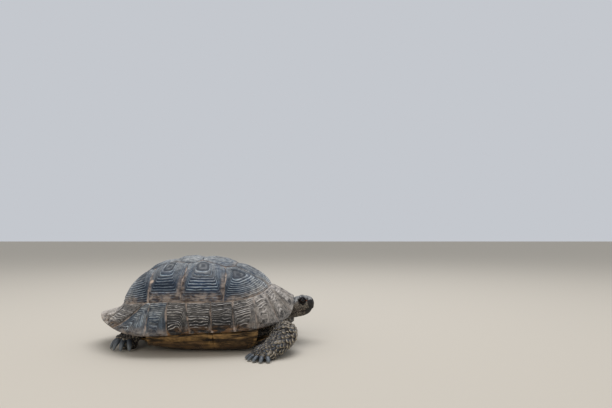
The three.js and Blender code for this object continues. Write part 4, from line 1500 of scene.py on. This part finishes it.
def fold_and_pave(mesh):
    points, normal = places_of(mesh), normals_at(mesh)
    near = along_limbs(points)
    shown = 1 - smooth(hidden_inside(points), 0.3, 0.9)
    ripple = np.sin(near["share"] * 60 * 1.15 + 2.2 * noise(points, 9, 3)) * 0.5 + 0.5
    loose = 1 - 0.75 * smooth(near["share"], 0.3, 0.7)
    depth = -0.55 * ripple**3 * loose * (0.5 + 0.5 * noise(points, 7, 4)) + 0.35 * noise(points, 6, 5)
    # The forearm's loose skin hangs over the wrist in one deep fold.
    past = near["travelled"] + ((points - near["place"]) * near["ahead"]).sum(1) - WRIST
    past += 2.0 * noise(points, 11, 7)
    fold = 0.9 * bump(past, -2.4, 1.8) - 1.5 * bump(past, 0, 1.1)
    depth += fold * (near["limb"] < 2) * smooth(normal[:, 2], -0.5, 0.1)
    order = np.random.default_rng(6).permutation(len(points))
    pool = order[shown[order] > 0.3]
    spacing = np.full(len(pool), 1.9) + 0.5 * noise(points[pool], 14, 6)
    gap, tint = cell_gaps(points, points[pool][scattered(points[pool], spacing)])
    depth = depth + 0.3 * (smooth(gap, 0, 1.2) - 0.5)
    points = points + normal * (depth * shown)[:, None]
    points[:, 2] = np.maximum(points[:, 2], SOLE_GAP)
    set_places(mesh, points)
    bare = {key: np.zeros(len(points)) for key in ("beak", "dark", "orange", "crown", "head", "lip")}
    write_marks(mesh, {"furrow_shade": (1 - smooth(gap, 0.05, 0.7)) * shown, "tint": tint, **bare})


fold_and_pave(body.data)
print("limbs folded and paved")

# %% [markdown]
# ## Skin colour
# Reptile skin is a dry keratin sheet: matt, IOR about 1.5, with a little sheen where scales are
# rubbed. Here it is grey-brown with dark scales, and shade is painted into the furrows between the
# granules. The crown's upward faces are painted a pale blue-grey as sky sheen, the beak and the
# lids are almost black, shade is painted into the nostrils and the mouth's slit, the cheeks are
# warmer, and a small orange spot marks the front corner of the eye.

# %% Skin material, and one skin of head and body
def skin_material():
    """Dull hide with painted shade in its furrows, so that each granule stands out to the eye."""
    material, tree, place, tint, on_head, crown, crease, beak, dark, orange = new_material(
        "dry_reptile_hide", "tint", "head", "crown", "furrow_shade", "beak", "dark", "orange"
    )
    blotch = cloud(tree, place, 5, 0.38, 0.65)
    fine = cloud(tree, place, 2, 0.4, 0.62)
    # The furrows between granules, and the mouth's slit, are darkened here: painted shade.
    furrow_shade = add(tree, MATHS, crease, 0.75, operation="MULTIPLY")
    lucky = add(tree, "ShaderNodeMapRange", tint, 0.3, 0.9)
    body_tone, face_tone = (
        painted(tree, plain, [(lucky, pale), (blotch, stain), (furrow_shade, fold)])
        for plain, pale, stain, fold in (
            ("#231f1c", "#3b352e", "#151311", "#231d19"),
            ("#4b4037", "#a09283", "#362d25", "#1f1915"),
        )
    )
    # The crown's upward faces turn pale blue-grey, mottled by fine noise: painted sky sheen.
    crown_sheen, horny = (
        add(tree, MIX, sockets={0: fine, 6: first, 7: second}, out=2, data_type="RGBA")
        for first, second in (("#a3a29e", "#302f2e"), ("#090807", "#28231e"))
    )
    # The dark mark paints shade into the nostrils and the slit, and darkens the lids.
    colour = painted(tree, body_tone, [
        (on_head, face_tone), (crown, crown_sheen), (beak, horny), (dark, "#0e0d0d"), (orange, "#8f4a1e"),
    ])
    rough = add(tree, "ShaderNodeMapRange", beak, sockets={3: 0.66, 4: 0.52})
    grain = cloud(tree, place, 0.35, 0.3, 0.7)
    finish_surface(tree, colour, rough, 1.5, grain, 0.07, specular=0.35)
    return material


skin = joined("tortoise_skin", [body, head])
skin.data.materials.clear()
skin.data.materials.append(skin_material())
skin.data.shade_smooth()
hand_over(skin, "skin", "trunk", "head", "neck", "tail", *LEGS)
print("skin:", len(skin.data.polygons), "faces")

# %% [markdown]
# ## Eyes
# A tortoise's eye is dark and wet. The ball is a sphere of glassy tissue, so it gets a low
# roughness and the IOR of a cornea, 1.376; a slightly bulging cornea catches the light. The
# brown iris is a ring around a black pupil, drawn by how far each vertex lies from the eye's axis.

# %% Eyeballs
def eye_material():
    """A wet ball whose one sharp glint makes the animal look awake."""
    material, tree, place, axis = new_material("wet_eye", "from_axis")
    spokes = cloud(tree, place, 0.6, 0.3, 0.7, 2.0)
    iris = add(
        tree, MIX, sockets={0: spokes, 6: "#120b07", 7: "#281810"}, out=2, data_type="RGBA",
    )
    around_pupil = add(tree, "ShaderNodeMapRange", axis, 0.40, 0.48)
    outer_edge = add(tree, "ShaderNodeMapRange", axis, 0.86, 0.95)
    colour = painted(tree, "#050404", [(around_pupil, iris), (outer_edge, "#080605")])
    finish_surface(tree, colour, 0.05, 1.376)
    return material


def eyeball(word, side):
    sides, rows = 48, 32
    share, turn = round_net(sides, rows)
    tilt = share * np.pi
    radius = EYE_RADIUS + 0.22 * (1 - smooth(tilt, 0.3, 0.75))
    local = [np.cos(tilt), np.sin(tilt) * np.cos(turn), np.sin(tilt) * np.sin(turn)]
    axes = [EYE_OUT, EYE_FORWARD, EYE_UP]
    points = EYE + sum(part[:, None] * axis for part, axis in zip(local, axes)) * radius[:, None]
    marks = {"from_axis": np.sin(np.minimum(tilt, np.pi / 2))}
    return object_of(f"eyeball_{word}", points * (1, side, 1), net_faces(rows - 1, sides), marks)


wet_eye = eye_material()
for word, side in SIDES.items():
    eye = eyeball(word, side)
    eye.data.materials.append(wet_eye)
    hand_over(eye, "eye", f"eye_{word}")
print("eyes set at", EYE, "mm, radius", EYE_RADIUS)

# %% [markdown]
# ## Claws
# Each claw is a horn sheath that leaves the toe level, bends to the floor and ends blunt, worn by
# walking. It is drawn as a short bent limb, with its own width and height at each station, and
# fine growth lines round it. The five front claws and the four hind claws of a foot are one piece.

# %% Claws
CLAW_ROOT = 0.5  # mm that a claw starts beyond the edge of the palm
CLAW_GAP = 0.1  # mm between the claws and the floor


def claw_material():
    """Dry claw horn: dark and bluish at the root, greyer and scratched towards the tip."""
    material, tree, place, share = new_material("worn_claw_horn", "share")
    tip = add(tree, "ShaderNodeMapRange", share, 0.45, 1.0)
    scratches = cloud(tree, place, 0.8, 0.35, 0.65)
    colour = painted(tree, "#23272c", [(scratches, "#3f474f"), (tip, "#74797a")])
    finish_surface(tree, colour, 0.38, 1.54, scratches, 0.06)
    return material


def claws(name):
    form = claws_of(name)
    knuckle, middle = LEGS[name]["foot"][2] + form["rise"], (form["palm"] + form["reach"]) / 2
    spots = [
        (form["palm"] - 3, knuckle * 0.84, 0.9, 0.85),
        (form["palm"] + CLAW_ROOT, knuckle * 0.86, 1.0, 0.9),
        (middle + 1, knuckle * 0.62, 0.95, 0.75), (form["reach"] - 0.3, knuckle * 0.3, 0.74, 0.55),
        (form["reach"] + 0.5, 0.9, 0.42, 0.32),
    ]
    sides, rows = 28, 30
    share, turn = round_net(sides, rows)
    nets = []
    for stations in toe_stations(name, spots, form["thick"] * form["bulk"]):
        net, _ = limb_point(stations, share, turn)
        rings = net[1:-1]
        centre = np.repeat(rings.reshape(-1, sides, 3).mean(1), sides, axis=0)
        growth = 1 + 0.035 * np.sin(share[1:-1] * 46 + 2 * noise(rings, 4, 8))
        net[1:-1] = centre + (rings - centre) * growth[:, None]
        net[:, 2] = np.maximum(net[:, 2], CLAW_GAP)
        nets.append(net)
    starts, one_net = range(0, len(nets) * len(share), len(share)), net_faces(rows - 1, sides)
    faces = [[start + corner for corner in face] for start in starts for face in one_net]
    return object_of(f"claws_{name}", np.vstack(nets), faces, {"share": np.tile(share, len(nets))})


claw_horn = claw_material()
for name in LEGS:
    foot_claws = claws(name)
    foot_claws.data.materials.append(claw_horn)
    hand_over(foot_claws, "claw_horn")
print("claws cut for", len(LEGS), "feet")

# %% [markdown]
# ## Where the scales lie
# A tortoise's leg is armoured. The front of the forearm and the heel carry large, horny scales
# that overlap like tiles with their points to the foot; the rest is paved with smaller ones, and
# they are smallest on the toes and the face. Their places follow rules. Each limb is unrolled
# along its middle line, spots are taken from the foot upwards so that no two come closer than the
# scale's own size there, and each spot keeps its lie, size and shade. Unrolling also gives each
# scale its place on a flat map of the limb, which an export needs.

# %% Unrolled limbs
TIP_MARGIN = 30.0  # mm kept on each limb's map for what lies beyond the end of its middle line


def unrolled(points, limb):
    """Distance along a limb, turn round it, its direction, its length and how far beyond it."""
    on_limb = GUIDE["limb"] == limb
    line, travelled = GUIDE["place"][on_limb], GUIDE["travelled"][on_limb]
    nearest = np.linalg.norm(points[:, None] - line, axis=2).argmin(1)
    apart, ahead = points - line[nearest], GUIDE["ahead"][on_limb][nearest]
    wide = np.cross([0.0, 0.0, 1.0], ahead)
    high = np.cross(ahead, wide)
    along = travelled[nearest] + (apart * ahead).sum(1)
    sideways, upwards = (apart * wide).sum(1), (apart * high).sum(1)
    beyond = np.clip(along - travelled[-1], 0, None)
    return along, np.arctan2(upwards, sideways), ahead, travelled[-1], beyond


for number, name in enumerate(LIMBS):
    print(name, "is", GUIDE["travelled"][GUIDE["limb"] == number].max().round(), "mm long")

# %% [markdown]
# ## How the scales lie
# Each limb has its own armour: broad scales down the front of the forearm, middling ones on the
# heel, small ones on tail and neck. Rows come closer along the limb than across it, so that the
# scales overlap, and the tips lean out most where the scales are largest.

# %% Spacing and lie
FRONTS = {  # which way each limb's armoured side faces
    "foreleg_right": (0.8, -0.55, 0.2), "foreleg_left": (0.85, 0.45, 0.25),
    "hindleg_right": (-0.45, -0.85, 0.1), "hindleg_left": (-0.45, 0.85, 0.1),
    "tail": (0, 0, 1), "neck": (0, 0, 1),
}


def scale_form(name, share, beyond, facing):
    """Spacing in mm, how much rows are squeezed, and how far tips stand out, in degrees."""
    front = smooth(facing @ np.array(FRONTS[name]), -0.15, 0.55)
    if name.startswith("fore"):
        big = front * smooth(share, 0.12, 0.4) * (1 - 0.45 * smooth(share, 0.75, 1))
        size = 2.4 + 3.0 * big - 0.3 * smooth(beyond, 0, 12)
        return size, 1.3 + 0.35 * big, 12 + 12 * big
    if name.startswith("hind"):
        big = smooth(share, 0.45, 0.85) * (0.5 + 0.5 * front)
        return 2.2 + 1.4 * big - 0.6 * smooth(beyond, 2, 10), 1.2 + 0 * share, 10 + 8 * big
    if name == "tail":
        return 2.0 + 0.8 * share, 1.2 + 0 * share, 10 + 0 * share
    return 1.9 - 0.55 * smooth(share, 0.6, 0.95), 1.1 + 0 * share, 6 - 3 * share


def scale_lie(name, points, facing, ahead, beyond):
    """Where the tips point: down the limb, and outwards over the foot."""
    foot = points - (np.array(LEGS[name]["foot"]) if name in LEGS else points)
    fan = foot * (1, 1, 0) / (np.linalg.norm(foot[:, :2], axis=1, keepdims=True) + 1e-6)
    over_foot = smooth(beyond, 0, 6)[:, None] + smooth(foot[:, 2:], 3, -2) * 0.5 * (name in LEGS)
    lie = ahead + (fan - ahead) * np.clip(over_foot, 0, 1)
    lie += 0.18 * np.column_stack([noise(points, 4, k) for k in (14, 15, 16)])
    lie -= facing * (lie * facing).sum(1, keepdims=True)
    return lie / (np.linalg.norm(lie, axis=1, keepdims=True) + 1e-9)


forearm = np.array([FRONTS["foreleg_left"]])
widest, _, _ = scale_form("foreleg_left", np.array([0.6]), np.zeros(1), forearm)
print("the widest spacing is", widest.round(1), "mm, on the front of the forearm")

# %% [markdown]
# ## Choosing the spots
# Every vertex of the skin could carry a scale. What lies under the shell, the soles, the beak,
# the lids and the crown stay bare. On each thigh one scale becomes the great horn spur that the
# spur-thighed tortoise is named for.

# %% Spots for the scales
SPUR_HALF = (4.6, 2.6, 3.4)  # mm, the great horn spur that stands out behind each thigh
SPUR_LEAN = 52.0  # degrees


def scale_spots(name, mesh, seed):
    """Places, lie, half sizes, map places and shades of one limb's scales."""
    limb = list(LIMBS).index(name)
    points, facing = places_of(mesh), normals_at(mesh)
    bare = sum(read_mark(mesh, key) for key in ("beak", "dark", "crown")) + 3 * read_mark(mesh, "lip")
    shown = (along_limbs(points)["limb"] == limb) & (hidden_inside(points) < 0.4) & (bare < 0.15)
    shown &= (points[:, 2] > 1.2) & (facing[:, 2] > -0.85)
    points, facing = points[shown], facing[shown]
    along, turn, ahead, length, beyond = unrolled(points, limb)
    size, squeeze, tilt = scale_form(name, np.clip(along / length, 0, 1), beyond, facing)
    size = size * (1 + 0.12 * noise(points, 6, 12))
    order = np.argsort(-along + 0.6 * noise(points, 3, 13), kind="stable")
    chosen = order[scattered(points[order], size[order], ahead[order], squeeze[order])]
    points, facing, size = points[chosen], facing[chosen], size[chosen]
    lie, lean = scale_lie(name, points, facing, ahead[chosen], beyond[chosen]), np.radians(tilt[chosen])
    face = smooth(points[:, 0], 98, 102) * (name == "neck")
    thick = np.where(size > 2.2, 0.28, 0.2) - 0.12 * face
    half = np.column_stack([size * (0.68 + 0.06 * face), size * (0.6 + 0.1 * face), size * thick]) * MM
    if name.startswith("hind"):
        thigh = np.array(LEGS[name]["stations"][1][:3])
        behind = thigh + (-13.0, -5.0 * np.sign(thigh[1]), -1.0)
        spur = np.linalg.norm(points - behind, axis=1).argmin()
        half[spur], lean[spur] = np.array(SPUR_HALF) * MM, np.radians(SPUR_LEAN)
    up = facing * np.cos(lean)[:, None] - lie * np.sin(lean)[:, None]
    shade = np.random.default_rng(seed).uniform(0, 1, len(size))
    mottled = 0.85 + 0.19 * noise(points, 3.5, 17) + 0.08 * shade
    shade = shade + (mottled - shade) * face
    share = np.clip(along[chosen] / (length + TIP_MARGIN), 0.01, 0.98)
    root = np.column_stack([turn[chosen] / (2 * np.pi) + 0.5, share, 0 * size])
    sink = (np.where(size > 2.2, 0.12, 0.04) + 0.02 * face) * size
    marks = {"up": up, "lie": lie, "half_size": half, "root": root, "shade": shade}
    return points - facing * sink[:, None], marks


spots = {name: scale_spots(name, skin.data, 20 + i) for i, name in enumerate(LIMBS)}
print("scales:", {name: len(found[0]) for name, found in spots.items()})

# %% [markdown]
# ## The scales
# One scale is a thin solid tile: a rounded dome with a broad root and a narrower tip. A Geometry
# Nodes tree makes that tile from a small ball, puts a copy on each spot with its own turn and
# size, and keeps the copies as plain mesh. It also writes down where each vertex lies on its own
# tile, as the edges are worn pale, and gives each tile a small patch of the map.

# %% Scale tree
PATCH = 0.003  # how wide one scale is on the limb's flat map
SCALE_GAP = 0.05  # mm between the lowest scales and the floor


def scale_tree():
    tree, given = new_tree("overlapping_scales", ("Lowest",))
    # A ball of few faces becomes a tile: flat below, domed above, narrow at the tip.
    place = add(tree, "GeometryNodeInputPosition")
    ball = add(tree, "GeometryNodeMeshUVSphere", 8, 5, 1.0)
    sockets = {"Name": "local", "Value": place}
    ball = add(tree, STORE, ball, sockets=sockets, data_type="FLOAT_VECTOR", domain="POINT")
    add(tree, "ShaderNodeSeparateXYZ", place)
    x, y, z = tree.nodes[-1].outputs
    taper = add(tree, MATHS, x, -0.36, 0.84, operation="MULTIPLY_ADD")
    width = add(tree, MATHS, y, taper, operation="MULTIPLY")
    over = add(tree, MATHS, z, 0.0, operation="MAXIMUM")
    domed = add(tree, MATHS, over, 1.5, z, operation="MULTIPLY_ADD")
    keel = add(tree, MATHS, y, operation="ABSOLUTE")
    keel = add(tree, MATHS, keel, over, operation="MULTIPLY")
    height = add(tree, MATHS, keel, -0.9, domed, operation="MULTIPLY_ADD")
    height = add(tree, MATHS, height, 0.5, operation="MULTIPLY")
    formed = add(tree, "ShaderNodeCombineXYZ", x, width, height)
    tile = add(tree, "GeometryNodeSetPosition", ball, sockets={"Position": formed})

    up, lie, size, root, local = (
        add(tree, NAMED, name, data_type="FLOAT_VECTOR")
        for name in ("up", "lie", "half_size", "root", "local")
    )
    turned = add(
        tree, "FunctionNodeAxesToRotation", up, lie, primary_axis="Z", secondary_axis="X",
    )
    sockets = {"Instance": tile, "Rotation": turned, "Scale": size}
    copies = add(tree, "GeometryNodeInstanceOnPoints", given["Geometry"], sockets=sockets)
    flow = add(tree, "GeometryNodeRealizeInstances", copies)

    # Nothing goes below the floor.
    add(tree, "ShaderNodeSeparateXYZ", place)
    east, north, above = tree.nodes[-1].outputs
    above = add(tree, MATHS, above, given["Lowest"], operation="MAXIMUM")
    clear = add(tree, "ShaderNodeCombineXYZ", east, north, above)
    flow = add(tree, "GeometryNodeSetPosition", flow, sockets={"Position": clear})

    half_patch = (PATCH / 2,) * 3
    patch = add(tree, "ShaderNodeVectorMath", local, half_patch, root, operation="MULTIPLY_ADD")
    sockets = {"Name": "OFBake", "Value": patch}
    flow = add(tree, STORE, flow, sockets=sockets, data_type="FLOAT2", domain="CORNER")
    flow = add(tree, "GeometryNodeSetMaterial", flow, sockets={"Material": given["Material"]})
    add(tree, "NodeGroupOutput", flow)
    return tree


tile_tree = scale_tree()
print("scale tree:", len(tile_tree.nodes), "nodes")

# %% [markdown]
# ## Scale horn
# Scales are the same keratin as the claws, IOR 1.54, dull with dust. They are blue-grey to brown
# in the middle, each a little different, and cream where the edge is worn thin. Their roots, which
# the scale before overlaps, are painted dark as shade.

# %% Grow the scales
def scale_material():
    """Dusty horn tiles whose pale rims draw each scale and whose roots hold painted shade, so that the leg
    looks armoured.
    """
    material, tree, place, shade = new_material("leg_scale_keratin", "shade")
    local = add(tree, MARK, attribute_name="local", out="Vector")
    flat = add(tree, "ShaderNodeVectorMath", local, (1, 1, 0), operation="MULTIPLY")
    reach = add(tree, "ShaderNodeVectorMath", flat, operation="LENGTH", out="Value")
    rim = add(tree, "ShaderNodeMapRange", reach, 0.66, 0.93)
    forward = add(tree, "ShaderNodeSeparateXYZ", local, out="X")
    tip = add(tree, "ShaderNodeMapRange", forward, -0.2, 0.7, sockets={3: 0.15, 4: 1.0})
    # The root of each tile, which the scale before overlaps, is painted dark as shade.
    root_shade = add(tree, "ShaderNodeMapRange", forward, 0.05, -0.6, sockets={4: 0.9})
    worn = cloud(tree, place, 3, 0.3, 0.6)
    worn = add(tree, MATHS, worn, 0.6, 0.4, operation="MULTIPLY_ADD")
    for factor in (tip, worn):
        rim = add(tree, MATHS, rim, factor, operation="MULTIPLY")
    brown = add(tree, "ShaderNodeMapRange", shade, 0.45, 0.75)
    pale = add(tree, "ShaderNodeMapRange", shade, 0.8, 0.93, sockets={4: 0.8})
    colour = painted(tree, "#111922", [
        (brown, "#382f27"), (pale, "#8b8274"), (cloud(tree, place, 0.8, 0.5, 0.75), "#4c4741"),
        (rim, "#b9ab92"), (root_shade, "#0d0b0a"),
    ])
    finish_surface(tree, colour, 0.5, 1.54, cloud(tree, place, 0.3, 0.3, 0.7), 0.06)
    return material


scale_horn = scale_material()
scale_faces = 0
for name, (places, marks) in spots.items():
    coat = object_of(f"scales_{name}", places, [], marks)
    grow(coat, tile_tree, material=scale_horn, lowest=SCALE_GAP * MM)
    coat.data.shade_smooth()
    hand_over(coat, "skin")
    scale_faces += len(coat.data.polygons)
print("leg, tail and neck scales:", scale_faces, "faces")

# %% [markdown]
# ## The room, the light and the camera
# The animal stands on a plain pale floor that runs to the horizon. One large soft light hangs
# overhead like an evening sky, a weaker one fills the near flank, and the pale surroundings do
# the rest. The camera is low and level with the shell, as an onlooker lying on the ground.

# %% Stage, light and camera
FLOOR_REACH = 12.0  # metres to each side
CAMERA = (122.5, -540.0, 118.0)  # mm, in the shell's frame
HORIZON_DROP = 33 / 612  # how far the horizon lies below the view's middle, as a share of its width
scene = bpy.context.scene


def put(name, data, place=(0, 0, 0)):
    """Places something of the room in the scene."""
    thing = bpy.data.objects.new(name, data)
    thing.location = place
    scene.collection.objects.link(thing)
    return thing


def soft_light(name, place, target, size, power, colour):
    light = bpy.data.lights.new(name, "AREA")
    light.shape, light.size, light.energy, light.color = "DISK", size, power, linear(colour)[:3]
    aim = Vector(target) - Vector(place)
    put(name, light, place).rotation_euler = aim.to_track_quat("-Z", "Y").to_euler()


floor_mesh = bpy.data.meshes.new("floor")
corners = ((-1, -1, 0), (1, -1, 0), (1, 1, 0), (-1, 1, 0))
floor_mesh.from_pydata((np.array(corners) * FLOOR_REACH).tolist(), [], [(0, 1, 2, 3)])
floor_paint = bpy.data.materials.new("plain_pale_floor")  # sends warm light up under the belly
floor_paint.use_nodes = True
floor_shader = floor_paint.node_tree.nodes["Principled BSDF"].inputs
floor_shader["Base Color"].default_value = linear("#c6bdad")
floor_shader["Roughness"].default_value = 0.9
floor_mesh.materials.append(floor_paint)
put("floor", floor_mesh)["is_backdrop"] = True

world = bpy.data.worlds.new("pale_surroundings")
world.use_nodes = True
sky = world.node_tree.nodes["Background"].inputs
sky["Color"].default_value = linear("#dfe3ea")
sky["Strength"].default_value = 0.75
scene.world = world

soft_light("sky_light", (0.1, 0.2, 1.4), (0, 0, 0), 1.3, 14, "#f3f6ff")
soft_light("near_fill", (-0.5, -1.3, 0.7), (0, 0, 0.04), 0.9, 4, "#fff6ea")

view = bpy.data.cameras.new("onlooker")
view.lens, view.sensor_width, view.shift_y, view.clip_start = 28.0, 36.0, HORIZON_DROP, 0.01
camera = put("onlooker", view, (np.array(CAMERA) + SHIFT) * MM)
camera.rotation_euler = (math.radians(90), 0, 0)
scene.camera = camera
scene.view_settings.view_transform = "Standard"
print("camera", CAMERA, "mm from the shell's centre; lens", view.lens, "mm")

# %% [markdown]
# ## Sizes
# Last, the box round the dressed animal is measured and noted beside the box of the plain solids.
# The two differ only by what stands out from the solids: lips of horn, claws and scales.

# %% Sizes, and the end
visual_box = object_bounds()
for corner, plain in zip(visual_box, cad_box):
    print("dressed", [round(v, 4) for v in corner], "m, plain", [round(v, 4) for v in plain], "m")
